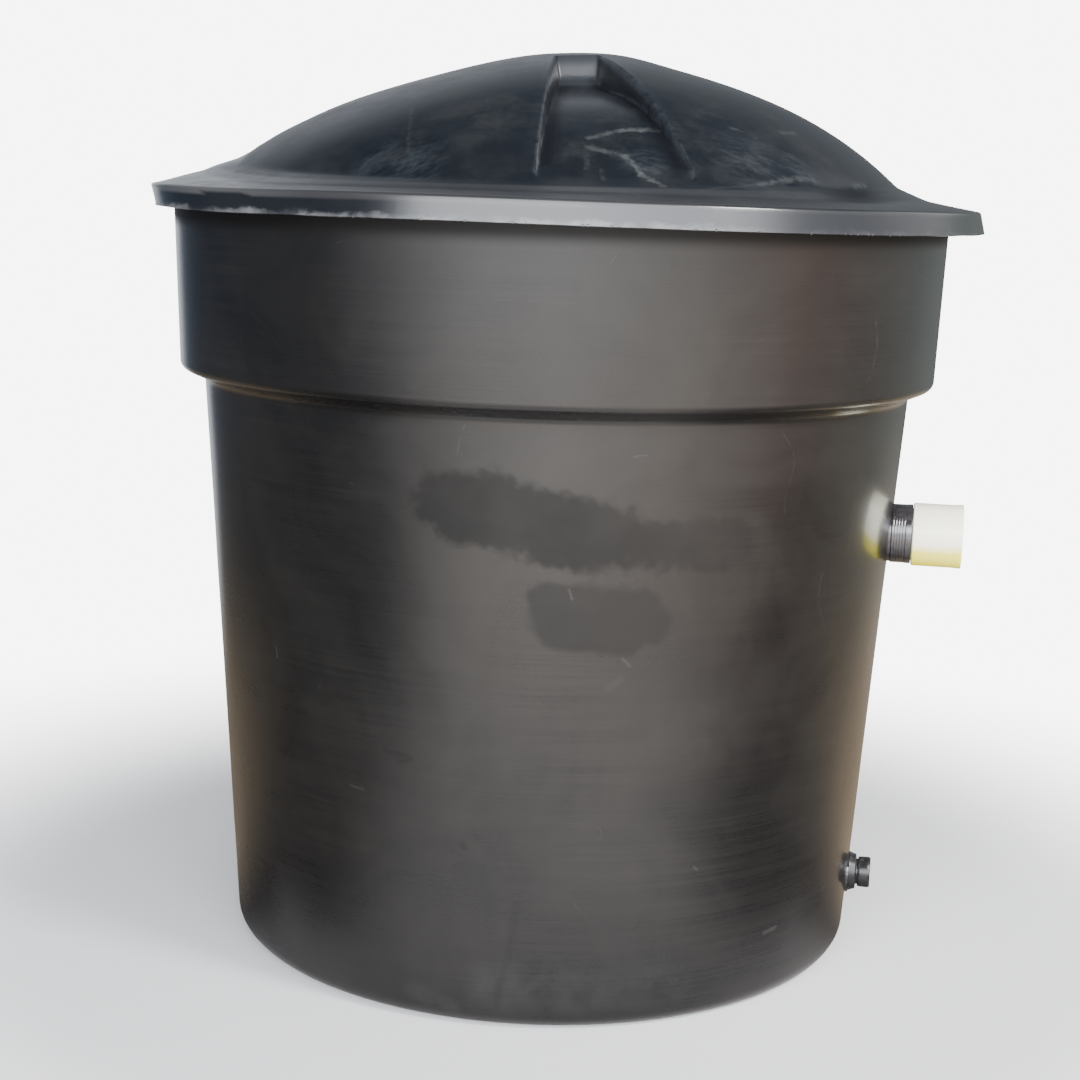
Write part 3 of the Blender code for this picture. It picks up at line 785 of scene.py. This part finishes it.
def torn_flash():
    """The paler, stressed plastic of torn moulding flash."""
    material, g, shader, place = new_material("torn_flash")
    cloud = g.group(CLOUDS, place=place, scale=60.0)
    dust = g.group(DUST, place=place, scale=90.0)
    plain = g.mix(cloud, (0.020, 0.020, 0.021, 1), (0.070, 0.071, 0.073, 1))
    g.join(g.painted(plain, ((dust, 0.30, (0.12, 0.12, 0.11)),)), shader.inputs["Base Color"])
    small_moulding(g, shader, place, cloud, (0.45, 0.20), 400.0, 0.3)
    return material


def ring_rubber():
    """Black rubber with a soft sheen and a bloom of dust in its grain."""
    material, g, shader, place = new_material("ring_rubber")
    cloud = g.group(CLOUDS, place=place, scale=30.0)
    dust = g.group(DUST, place=place, scale=60.0)
    plain = g.mix(cloud, (0.016, 0.015, 0.016, 1), (0.030, 0.028, 0.029, 1))
    g.join(g.painted(plain, ((dust, 0.18, (0.13, 0.12, 0.11)),)), shader.inputs["Base Color"])
    shader.inputs["Specular IOR Level"].default_value = 1.0
    small_moulding(g, shader, place, cloud, (0.18, 0.06), 320.0, 0.08)
    return material


def yellowed_pvc():
    """White PVC pipe, yellow towards its underside."""
    material, g, shader, place = new_material("yellowed_pvc")
    cloud = g.group(CLOUDS, place=place, scale=18.0)
    scratch = g.group(SCRATCHES, place=place, scale=24.0, width=0.006, sparseness=0.52)
    dust = g.group(DUST, place=place, scale=40.0)
    drift = g.math("SUBTRACT", cloud, 0.5)
    yellow_below = g.math("MULTIPLY_ADD", drift, 0.25, g.attribute("underside"), clamp=True)
    plain = g.mix(yellow_below, (0.94, 0.925, 0.76, 1), (0.90, 0.80, 0.02, 1))
    g.join(g.painted(plain, (
        (scratch, 0.30, (0.55, 0.52, 0.42)),
        (dust, 0.12, (0.52, 0.48, 0.38)),
    )), shader.inputs["Base Color"])
    small_moulding(g, shader, place, cloud, (0.26, 0.12), 180.0, 0.18)
    return material


def fitting_plastic():
    """Harder, glossier black plastic of the drain fitting."""
    material, g, shader, place = new_material("fitting_plastic")
    cloud = g.group(CLOUDS, place=place, scale=26.0)
    scratch = g.group(SCRATCHES, place=place, scale=30.0, width=0.006, sparseness=0.55)
    dust = g.group(DUST, place=place, scale=70.0)
    plain = g.mix(cloud, (0.008, 0.008, 0.009, 1), (0.020, 0.019, 0.019, 1))
    g.join(g.painted(plain, (
        (scratch, 0.35, (0.15, 0.145, 0.14)),
        (dust, 0.40, (0.14, 0.13, 0.12)),
    )), shader.inputs["Base Color"])
    small_moulding(g, shader, place, cloud, (0.28, 0.10), 260.0, 0.25)
    return material


# Tank


def tank_outline():
    """The tank's outer side from the middle of its base up to its rim, with roundings."""
    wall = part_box("tank_wall")[1]
    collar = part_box("tank_collar")[1]
    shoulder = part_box("tank_shoulder")[1]
    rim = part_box("tank_rim")[1]
    base_radius, _ = wall_line()
    return rounded([
        (0.0, 0.0, 0.0),
        (base_radius, 0.0, 0.036),
        (wall.x, wall.z + 0.004, 0.016),
        (shoulder.x - 0.0008, shoulder.z - 0.024, 0.016),
        (collar.x, collar.z, 0.004),
        (rim.x, collar.z + 0.004, 0.003),
        (rim.x, rim.z - 0.0060, 0.003),
        (collar.x - WALL_THICKNESS, rim.z - 0.0003, 0.0),
    ], steps=8, closed=False)


def make_tank(material):
    outline = tank_outline()
    lip_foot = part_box("tank_collar")[1].z - 0.006
    lip_start = next(i for i, point in enumerate(outline) if point[1] > lip_foot)
    wall, lip = outline[:lip_start], outline[lip_start:]
    inner = subdivided(inset(wall, WALL_THICKNESS), 0.020)
    profile = subdivided(wall, 0.012) + lip + inner[::-1]
    tank = turn_profile("tank_moulding", profile, TANK_COLUMNS)
    for vertex in tank.data.vertices:
        swell_wall(vertex)
    cut_holes(tank)
    finish_mesh(tank)
    give(tank, material, "tank", "tank_black",
         "tank_floor", "tank_wall", "tank_shoulder", "tank_collar", "tank_rim")


def swell_wall(vertex):
    """The slight swell and sink of a moulded shell as it cools, none at its base."""
    x, y, z = vertex.co
    radius = math.hypot(x, y)
    if radius < 0.45 or z < SWELL_FOOT:
        return
    direction = Vector((x / radius, y / radius, z))
    swell = 0.0011 * noise.noise(direction * 2.2) + 0.0005 * noise.noise(direction * 6.5)
    swell *= min(1.0, (z - SWELL_FOOT) / 0.10)
    vertex.co.x += swell * x / radius
    vertex.co.y += swell * y / radius


def cut_holes(tank):
    """The holes that the fittings pass through, a little wider than their sleeves."""
    for node, angle, sleeve in (
        ("outlet_grommet", OUTLET_SIDE, SLEEVE_RADIUS),
        ("inlet_grommet", INLET_SIDE, SLEEVE_RADIUS),
        ("drain_gasket", OUTLET_SIDE, DRAIN_RADIUS),
    ):
        low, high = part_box(node)
        radius = sleeve + HOLE_CLEARANCE
        section = [(0, 0.55), (radius, 0.55), (radius, 0.75), (0, 0.75)]
        cutter = turn_profile("cutter", section, 64)
        lie_along(cutter, angle, (low.z + high.z) / 2)
        hole = tank.modifiers.new("hole", "BOOLEAN")
        hole.object = cutter
        hole.solver = "EXACT"
        bake_modifiers(tank)
        bpy.data.objects.remove(cutter, do_unlink=True)


# Lid


def soft_step(value, rounding):
    """max(value, 0) with a rounded corner."""
    if value <= -rounding:
        return 0.0
    if value >= rounding:
        return value
    return (value + rounding) ** 2 / (4 * rounding)


def dome_height(radius):
    shoulder = DOME_SHOULDER * (radius / DOME_RADIUS) ** 8
    return LID_TOP - DOME_FALL * radius ** DOME_POWER - shoulder


def floor_height(radius):
    return FLOOR_TOP - FLOOR_FALL * radius ** FLOOR_POWER


def recess_half_width(radius):
    return RECESS_HALF_WIDTH + RECESS_SPREAD * radius


def flange_height(radius):
    inner = (KNEE_HEIGHT - SEAM_HEIGHT) / (KNEE_RADIUS - SEAM_RADIUS)
    outer = (EDGE_HEIGHT - KNEE_HEIGHT) / (EDGE_RADIUS - KNEE_RADIUS)
    steep = SEAM_HEIGHT + inner * (radius - SEAM_RADIUS)
    shallow = KNEE_HEIGHT + outer * (radius - KNEE_RADIUS)
    return steep + soft_step(shallow - steep, KNEE_ROUNDING)


def lid_height(radius, turn):
    """The lid's top at a radius and an angle from a recess's middle."""
    across = abs(radius * math.sin(turn))
    along = radius * math.cos(turn)
    side = RECESS_SIDE_SLOPE * (recess_half_width(radius) - across)
    end = RECESS_END_SLOPE * (along - RECESS_END_RADIUS)
    inside = side - soft_step(side - end, RECESS_ROUNDING)
    dome = dome_height(radius)
    depth = max(dome - floor_height(radius), 0.0)
    walls = dome - soft_step(inside, RECESS_ROUNDING)
    foot = dome - depth
    rounding = min(RECESS_ROUNDING, 0.0005 + 0.3 * depth)
    top = foot + soft_step(walls - foot, rounding)
    flange = flange_height(radius)
    return flange + soft_step(top - flange, SEAM_ROUNDING)


def lid_radii():
    """Ring radii, close together where the recess ends and where the dome meets the flange."""
    radii = [0.020 * step for step in range(1, 7)]
    radii += [0.128 + 0.0025 * step for step in range(20)]
    radii += [0.178 + 0.010 * step for step in range(1, 44)]
    radii += [0.611 + 0.003 * step for step in range(1, 20)]
    radii += [0.672 + 0.006 * step for step in range(20)]
    return [radius for radius in radii if radius < EDGE_RADIUS - 0.010]


def lid_turns(radius):
    """Angles from the middle of one petal to the next, dense on the recess walls between them."""
    reach = max(radius, 0.05)
    half_width = recess_half_width(reach)
    end = math.pi / RECESS_COUNT
    top = min(math.asin(min(0.9, (half_width + 0.006) / reach)), end * 0.80)
    foot = min(math.asin(min(0.85, max(0.0, half_width - 0.016) / reach)), top * 0.75)
    half = [foot * step / 6 for step in range(6)]
    half += [foot + (top - foot) * step / 10 for step in range(10)]
    half += [top + (end - top) * step / 14 for step in range(15)]
    return [-turn for turn in reversed(half[1:])] + half


def skirt_points():
    """The lid's rounded edge and its skirt, which leans out towards its foot."""
    start = EDGE_RADIUS - 0.008
    top = SKIRT_HIGH.x - math.tan(SKIRT_LEAN) * (EDGE_HEIGHT - SKIRT_LOW.z)
    path = rounded([
        (start, flange_height(start), 0.0),
        (top, flange_height(top), 0.0065),
        (SKIRT_HIGH.x, SKIRT_LOW.z, 0.0),
    ], steps=6, closed=False)
    return subdivided(path, 0.006)


def hump(value, start, end):
    """A smooth rise and fall, one at the middle of a span and nothing outside it."""
    share = (value - start) / (end - start)
    return math.sin(math.pi * share) ** 2 if 0 < share < 1 else 0.0


def soft_share(value, start, end):
    """From 0 at the start of a span to 1 at its end, smoothly."""
    share = share_between(value, start, end)
    return share * share * (3.0 - 2.0 * share)


def dent_share(x, y):
    """How deep in the lid's dent a point lies, from 0 to 1."""
    turn = math.remainder(math.atan2(y, x) - DENT_PLACE[0], math.tau)
    outwards = math.hypot(x, y) - DENT_PLACE[1]
    return math.exp(-(turn / 0.105) ** 2 - (outwards / 0.040) ** 2)


def warp_lid(vertex):
    """The lid's set: it sags beside its crown, bows up at one side, is pressed in at another."""
    x, y, z = vertex.co
    radius = math.hypot(x, y)
    if radius < 0.01:
        return
    angle = math.atan2(y, x)
    off_side = math.remainder(angle - PRESSED_SIDE, math.tau)
    towards = radius * math.cos(off_side)
    sideways = math.exp(-(radius * math.sin(off_side) / 0.34) ** 2)
    rise, *rise_span = LID_EDGE_RISE
    sag = rise * share_between(towards, *rise_span)
    sag += sum(height * hump(towards, *sag_span) for height, *sag_span in LID_SAGS)
    lift = sag * sideways - 0.011 * dent_share(x, y)
    bowed = math.exp(-(math.remainder(angle - BOWED_SIDE, math.tau) / 0.75) ** 2)
    bow = 1.6 * soft_share(radius, 0.66, 0.76) - 0.6 * soft_share(radius, 0.56, 0.66)
    lift += 0.0080 * bowed * bow
    inwards = 0.0
    if radius > 0.62:
        outer = share_between(radius, 0.62, 0.78)
        drop = share_between(EDGE_HEIGHT - z, 0.0, 0.038)
        pressed = math.exp(-(off_side / 0.55) ** 2)
        wave = noise.noise(Vector((math.cos(angle) * 1.8, math.sin(angle) * 1.8, 3.0)))
        ripple = noise.noise(Vector((math.cos(angle) * 7.0, math.sin(angle) * 7.0, 8.0)))
        inwards = outer * (0.014 * pressed + 0.022 * pressed * drop + 0.0022 * max(0.0, wave))
        lift += outer * drop * (0.0014 * max(0.0, ripple) + 0.0020 * pressed)
    vertex.co.x -= inwards * x / radius
    vertex.co.y -= inwards * y / radius
    vertex.co.z += lift


def mark_lid(mesh):
    """Where the lid is rubbed, painted lighter at its recess ends, flat, or darkened by painted
    shade, and which points are its skirt's.
    """
    rubbed, lit_end_wall, flat, hollow_shade, skirt = new_attributes(
        mesh, "rubbed_edge", "recess_end", "flange", "hollow_shade", "skirt")
    for i, vertex in enumerate(mesh.vertices):
        x, y, z = vertex.co
        radius = math.hypot(x, y)
        turn = math.remainder(math.atan2(y, x) - RECESS_FIRST_ANGLE, math.tau / RECESS_COUNT)
        across = abs(radius * math.sin(turn))
        along = radius * math.cos(turn)
        half_width = recess_half_width(radius)
        near = max(0.0, 1.0 - abs(across - half_width - 0.001) / 0.006)
        rubbed[i].value = near if 0.15 < radius < 0.63 else 0.0
        # Painted light on each recess's end wall.
        lit_end_wall[i].value = float(0.135 < along < 0.192 and across < half_width - 0.004)
        on_top = z > EDGE_HEIGHT - 0.004 or radius < EDGE_RADIUS - 0.010
        flat[i].value = share_between(radius, 0.664, 0.670) * on_top
        # Painted shade: the recess walls and the dent are marked for darker colour and less sheen.
        in_wall = hump(half_width - across, -0.004, 0.034) if radius < 0.60 else 0.0
        in_wall *= share_between(radius, 0.195, 0.225)
        hollow_shade[i].value = max(in_wall, 0.9 * dent_share(x, y))
        skirt[i].value = float(radius > SKIRT_START and z < EDGE_HEIGHT)


def mark_foot(mesh):
    """How near each outer point of the skirt lies to its foot, taken before the lid is warped."""
    foot, = new_attributes(mesh, "foot")
    for i, vertex in enumerate(mesh.vertices):
        on_skirt = math.hypot(vertex.co.x, vertex.co.y) > SKIRT_START
        foot[i].value = max(0.0, 1.0 - (vertex.co.z - SKIRT_LOW.z) / 0.016) * on_skirt


def lid_ring(form, radius, height=None):
    """A quarter of a ring at a radius, on the lid's top if no height is given."""
    ring = []
    for turn in lid_turns(radius):
        z = lid_height(radius, turn) if height is None else height
        ring.append(form.verts.new(polar(radius, RECESS_FIRST_ANGLE + turn, z)))
    return ring


def make_lid(material):
    form = bmesh.new()
    rings = [lid_ring(form, radius) for radius in lid_radii()]
    rings += [lid_ring(form, *point) for point in skirt_points()]
    apex = form.verts.new((0.0, 0.0, LID_TOP))
    for inner, outer in zip(rings[0], rings[0][1:]):
        form.faces.new((apex, inner, outer))
    for near, far in zip(rings, rings[1:]):
        for i in range(len(near) - 1):
            form.faces.new((near[i], far[i], far[i + 1], near[i + 1]))
    lid = mesh_object("lid_moulding", form)
    grow(lid, round_repeat_tree(),
         count=RECESS_COUNT, joining_distance=0.00005, material=material)
    mark_foot(lid.data)
    for vertex in lid.data.vertices:
        warp_lid(vertex)
    mark_lid(lid.data)
    wall = lid.modifiers.new("wall", "SOLIDIFY")
    wall.thickness = LID_THICKNESS - 0.0003
    wall.offset = -1.0
    wall.use_even_offset = True
    bake_modifiers(lid)
    finish_mesh(lid, 50.0)
    give(lid, material, "lid", "lid_black", "lid_dome", "lid_flange", "lid_skirt")


def make_flash(material):
    """Ragged flakes of moulding flash on the foot of the lid's skirt."""
    flake = bmesh.new()
    bmesh.ops.create_cone(flake, cap_ends=True, segments=5,
                          radius1=0.0003, radius2=0.0016, depth=0.0034)
    for vertex in flake.verts:
        vertex.co.y *= 2.6
        vertex.co.x *= 0.5
    flash = mesh_object("lid_flash", flake)
    grow(flash, flash_tree(), radius=SKIRT_HIGH.x - 0.0006, start=math.radians(-136),
         sweep=math.radians(120), height=SKIRT_LOW.z + 0.0004,
         count=FLAKE_COUNT, seed=FLAKE_SEED, material=material)
    for vertex in flash.data.vertices:
        warp_lid(vertex)
    finish_mesh(flash, 60.0)
    give(flash, material, "lid", "lid_black")


# Pipe fittings


def socket_section():
    """A plain pipe stub with a bell, a groove for its seal and a slightly flared mouth."""
    return rounded([
        (0.0620, 0.8080, 0.0016), (0.0618, 0.8000, 0.004), (0.0611, 0.7900, 0.006),
        (0.0611, 0.7128, 0.0030), (0.0508, 0.7128, 0.0004), (0.0508, 0.6280, 0.0008),
        (0.0476, 0.6280, 0.0008), (0.0476, 0.7380, 0.002), (0.0515, 0.7420, 0.002),
        (0.0515, 0.7830, 0.0005), (0.0555, 0.7832, 0.0008), (0.0555, 0.7910, 0.0008),
        (0.0515, 0.7912, 0.0005), (0.0517, 0.8080, 0.0012),
    ], steps=4)


def grommet_section(inner_face):
    """A rubber sleeve with a bead at its mouth, level ribs and a lip inside the wall."""
    bore = 0.0511
    ribs = []
    for rib in range(5):
        start = 0.6990 - 0.0052 * rib
        ribs += [(0.0569, start, 0.0004), (0.0569, start - 0.0009, 0.0004),
                 (0.0573, start - 0.0018, 0.0008), (0.0573, start - 0.0044, 0.0008)]
    return rounded([
        (0.0576, 0.7119, 0.0014), (0.0576, 0.7006, 0.0010), *ribs,
        (0.0556, 0.6720, 0.0004), (0.0556, inner_face, 0.0006), (0.0660, inner_face, 0.0010),
        (0.0660, inner_face - 0.008, 0.003), (bore, inner_face - 0.008, 0.001),
        (bore, 0.7119, 0.0010),
    ], steps=3)


def seal_section():
    """A soft lip ring that fills the groove in the socket's mouth."""
    return rounded([
        (0.0551, 0.7905, 0.0008), (0.0551, 0.7837, 0.0008), (0.0516, 0.7840, 0.0006),
        (0.0506, 0.7862, 0.0008), (0.0508, 0.7885, 0.0006), (0.0516, 0.7902, 0.0006),
    ], steps=3)


def mark_underside(mesh, angle, axis_height):
    """How far round to its underside each outer point of a pipe lies, for its yellow colour."""
    under, = new_attributes(mesh, "underside")
    across = Vector((-math.sin(angle), math.cos(angle), 0.0))
    for i, vertex in enumerate(mesh.vertices):
        drop = axis_height - vertex.co.z
        outside = math.hypot(drop, vertex.co.dot(across)) > 0.0565
        level = drop / 0.062 if outside else 0.0
        under[i].value = share_between(level, 0.12, 0.44)


def make_pipe_fitting(prefix, angle, finishes):
    low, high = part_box(prefix + "_grommet")
    height = (low.z + high.z) / 2
    lip_back = low.x if prefix == "outlet" else low.y
    sections = (
        ("grommet", grommet_section(lip_back + 0.008), finishes["rubber"], "black_rubber"),
        ("socket", socket_section(), finishes["pvc"], "white_pvc"),
        ("seal", seal_section(), finishes["rubber"], "black_rubber"),
    )
    for kind, section, material, slot in sections:
        piece = turn_profile(f"{prefix}_{kind}_piece", section, FITTING_COLUMNS)
        lie_along(piece, angle, height)
        if kind == "socket":
            mark_underside(piece.data, angle, height)
        finish_mesh(piece)
        give(piece, material, "tank", slot, f"{prefix}_{kind}")


def make_drain(finishes):
    """The sludge drain: a seated gasket, a rounded flange, a threaded neck and a screwed cap."""
    low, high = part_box("drain_flange")
    height = (low.z + high.z) / 2
    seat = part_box("drain_gasket")[1].x
    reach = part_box("drain_cap")[1].x
    surface = reach - 0.0455
    front = seat + 0.0143
    neck_end = surface + 0.0385
    thread = []
    for turn in range(4):
        crest = neck_end - 0.0010 - 0.0045 * turn
        thread += [(0.0259, crest, 0.0003), (0.0251, crest - 0.0022, 0.0003)]
    flange = rounded([
        (0.0251, neck_end, 0.0006), *thread, (0.0253, front, 0.001),
        (0.0350, front, 0.0040), (0.0360, front - 0.006, 0.004), (0.0378, seat + 0.004, 0.003),
        (0.0394, seat + 0.0004, 0.0006), (0.0299, seat + 0.0004, 0.0005), (0.0299, low.x, 0.0010),
        (0.0190, low.x, 0.0010), (0.0190, neck_end, 0.0008),
    ], steps=3)
    cap_foot = surface + 0.0212
    cap = rounded([
        (0.0, reach, 0.0), (0.0150, reach, 0.002), (0.0165, reach - 0.0018, 0.001),
        (0.0245, reach - 0.0018, 0.001), (0.0262, reach, 0.001), (0.0292, reach, 0.0016),
        (0.0305, reach - 0.0050, 0.0020), (0.0302, cap_foot + 0.004, 0.0020),
        (0.0292, cap_foot, 0.0016), (0.0265, cap_foot, 0.0004), (0.0265, neck_end + 0.0004, 0.0006),
        (0.0, neck_end + 0.0004, 0.0),
    ], steps=4, closed=False)
    for name, section, node in (("drain_flange_piece", flange, "drain_flange"),
                                ("drain_cap_piece", cap, "drain_cap")):
        piece = turn_profile(name, section, FITTING_COLUMNS)
        lie_along(piece, OUTLET_SIDE, height)
        finish_mesh(piece)
        give(piece, finishes["fitting"], "tank", "black_fitting", node)


def dress_frame_nodes(finishes):
    """The plain washers and the nut keep their frame solids and take a finish."""
    for node, finish in (
        ("drain_gasket", "rubber"), ("drain_washer", "rubber"), ("drain_nut", "fitting"),
    ):
        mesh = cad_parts[node].data
        mesh.materials.clear()
        mesh.materials.append(finishes[finish])


# Studio

BACKDROP = 7.0
BRIGHTEST = 16.0


def scaled_down(colour):
    """A light's colour as a share of the brightest, which the world's strength makes up."""
    return (*(part / BRIGHTEST for part in colour), 1.0)


def by_azimuth(graph, share, stops):
    """A ramp whose stops are degrees round from the viewer's side, positive to the right."""
    made = graph.node("ShaderNodeValToRGB", {"Fac": share})
    elements = made.color_ramp.elements
    while len(elements) < len(stops):
        elements.new(0.5)
    for element, (degrees, colour) in zip(elements, stops):
        element.position = (degrees + 180) / 360
        element.color = scaled_down(colour)
    return made.outputs["Color"]


# Light from round the object, as it would reflect: low, level and high above the horizon
LOW_LIGHT = (
    (-180, (0.62, 0.62, 0.64)), (-150, (0.22, 0.18, 0.13)), (-115, (0.16, 0.155, 0.15)),
    (-56, (0.34, 0.34, 0.35)), (-25, (2.90, 2.68, 2.46)), (0, (3.80, 3.48, 3.22)),
    (38, (2.95, 2.55, 2.25)), (80, (0.48, 0.38, 0.32)), (125, (0.46, 0.40, 0.30)),
    (150, (0.76, 0.62, 0.46)), (180, (0.62, 0.62, 0.64)),
)
LEVEL_LIGHT = (
    (-180, (0.36, 0.38, 0.42)), (-159, (1.50, 1.60, 1.72)), (-148, (0.12, 0.15, 0.20)),
    (-124, (0.07, 0.09, 0.13)), (-68, (0.34, 0.36, 0.41)), (-22, (3.90, 3.98, 4.18)),
    (0, (4.70, 4.80, 4.95)), (36, (3.10, 3.08, 2.95)), (72, (2.00, 1.42, 1.24)),
    (98, (0.80, 0.75, 0.70)), (128, (0.40, 0.44, 0.43)), (162, (0.18, 0.20, 0.20)),
    (180, (0.36, 0.38, 0.42)),
)
HIGH_LIGHT = (
    (-180, (0.44, 0.47, 0.52)), (-156, (0.46, 0.49, 0.54)), (-136, (0.20, 0.23, 0.28)),
    (-46, (0.13, 0.16, 0.22)), (-38, (12.4, 12.8, 13.4)), (0, (14.6, 15.0, 15.8)),
    (46, (9.40, 9.60, 10.2)), (66, (1.60, 1.66, 1.74)), (92, (1.65, 1.68, 1.73)),
    (122, (1.90, 1.92, 1.94)), (146, (0.20, 0.22, 0.24)), (168, (0.18, 0.20, 0.22)),
    (180, (0.44, 0.47, 0.52)),
)
TOP_LIGHT = (0.08, 0.10, 0.13)


def make_world():
    """Studio surroundings: a broad bright front, dark cool and warm sides, and a pale backdrop."""
    world = bpy.data.worlds.new("studio")
    world.use_nodes = True
    bpy.context.scene.world = world
    world.node_tree.nodes.clear()
    g = Graph(world.node_tree)
    direction = g.node("ShaderNodeTexCoord").outputs["Generated"]
    up = g.node("ShaderNodeSeparateXYZ", {"Vector": direction}).outputs["Z"]
    azimuth = g.math("ARCTAN2", g.vector("DOT_PRODUCT", direction, tuple(SIDE)),
                     g.vector("DOT_PRODUCT", direction, tuple(FRONT)))
    share = g.math("MULTIPLY_ADD", azimuth, 1 / math.tau, 0.5)
    lights = (LOW_LIGHT, LEVEL_LIGHT, HIGH_LIGHT)
    low, level, high = (by_azimuth(g, share, stops) for stops in lights)
    dome = g.mix(g.span(up, -0.30, -0.10), low, level)
    dome = g.mix(g.span(up, 0.10, 0.26), dome, high)
    dome = g.mix(g.span(up, 0.46, 0.70), dome, scaled_down(TOP_LIGHT))
    seen = g.node("ShaderNodeLightPath").outputs["Is Camera Ray"]
    shown = g.mix(seen, dome, scaled_down([BACKDROP] * 3))
    background = g.node("ShaderNodeBackground", {"Color": shown, "Strength": BRIGHTEST})
    g.node("ShaderNodeOutputWorld", {"Surface": background.outputs[0]})


def make_floor():
    """A plain pale floor that fades out into the backdrop; in reflections it is darker at its sides
    and carries painted shade close in front of the tank.
    """
    bpy.ops.mesh.primitive_circle_add(
        vertices=96, radius=6.0, fill_type="NGON", location=(0, 0, -0.0005))
    floor = bpy.context.object
    floor.name = "studio_floor"
    material, g, shader, place = new_material("studio_floor_paint")
    paint = g.mix(g.noise(place, 1.5, 4.0), (0.90, 0.90, 0.90, 1), (0.93, 0.93, 0.925, 1))
    reach = g.vector("LENGTH", place)
    front = g.vector("DOT_PRODUCT", g.vector("NORMALIZE", place), tuple(FRONT))
    beside = g.mix(g.span(front, -0.40, 0.25), (0.33, 0.25, 0.16, 1), (0.09, 0.078, 0.070, 1))
    before = g.mix(g.span(front, 0.52, 0.98), beside, (0.86, 0.81, 0.77, 1))
    # In reflections only: painted shade on the floor close in front of the tank.
    clear_of_painted_shade = g.math("MAXIMUM", g.span(reach, 0.62, 1.02), g.span(front, 0.65, 0.15))
    mirrored = g.mix(clear_of_painted_shade, (0.46, 0.44, 0.43, 1), before)
    in_reflection = g.node("ShaderNodeLightPath").outputs["Is Glossy Ray"]
    g.join(g.mix(in_reflection, paint, mirrored), shader.inputs["Base Color"])
    shader.inputs["Roughness"].default_value = 0.75
    far = g.math("MULTIPLY", in_reflection, g.span(reach, 1.1, 3.6, 1.0, 0.0))
    g.join(g.math("MAXIMUM", g.span(reach, 1.0, 2.5, 1.0, 0.0), far), shader.inputs["Alpha"])
    floor.data.materials.append(material)


def make_key_light():
    """One square softbox, high at the front right."""
    data = bpy.data.lights.new("key_softbox", "AREA")
    data.shape = "RECTANGLE"
    data.size, data.size_y = 1.2, 1.2
    data.energy = 300.0
    data.color = (1.0, 0.98, 0.95)
    light = bpy.data.objects.new("key_softbox", data)
    light.location = FRONT * 2.8 + SIDE * 3.2 + Vector((0, 0, 4.2))
    aim = Vector((0.2, 0.0, 0.9)) - light.location
    light.rotation_euler = aim.to_track_quat("-Z", "Y").to_euler()
    bpy.context.scene.collection.objects.link(light)


def make_camera():
    """The photograph's own viewpoint: its height, tilt, slight roll and framing."""
    data = bpy.data.cameras.new("photo_camera")
    data.sensor_width = 36.0
    data.lens = CAMERA_LENS
    camera = bpy.data.objects.new("photo_camera", data)
    bpy.context.scene.collection.objects.link(camera)
    place = FRONT * CAMERA_DISTANCE + Vector((0, 0, CAMERA_HEIGHT))
    turn = Matrix.Rotation(CAMERA_AZIMUTH + CAMERA_YAW, 4, "Z")
    tilt = Matrix.Rotation(math.pi / 2 - CAMERA_PITCH, 4, "X")
    roll = Matrix.Rotation(CAMERA_ROLL, 4, "Z")
    camera.matrix_world = Matrix.Translation(place) @ turn @ tilt @ roll
    bpy.context.scene.camera = camera


make_camera()
make_world()
make_floor()
make_key_light()
make_tank(tank_polyethylene())
make_lid(lid_polyethylene())
make_flash(torn_flash())
finishes = {"rubber": ring_rubber(), "pvc": yellowed_pvc(), "fitting": fitting_plastic()}
make_pipe_fitting("outlet", OUTLET_SIDE, finishes)
make_pipe_fitting("inlet", INLET_SIDE, finishes)
make_drain(finishes)
dress_frame_nodes(finishes)
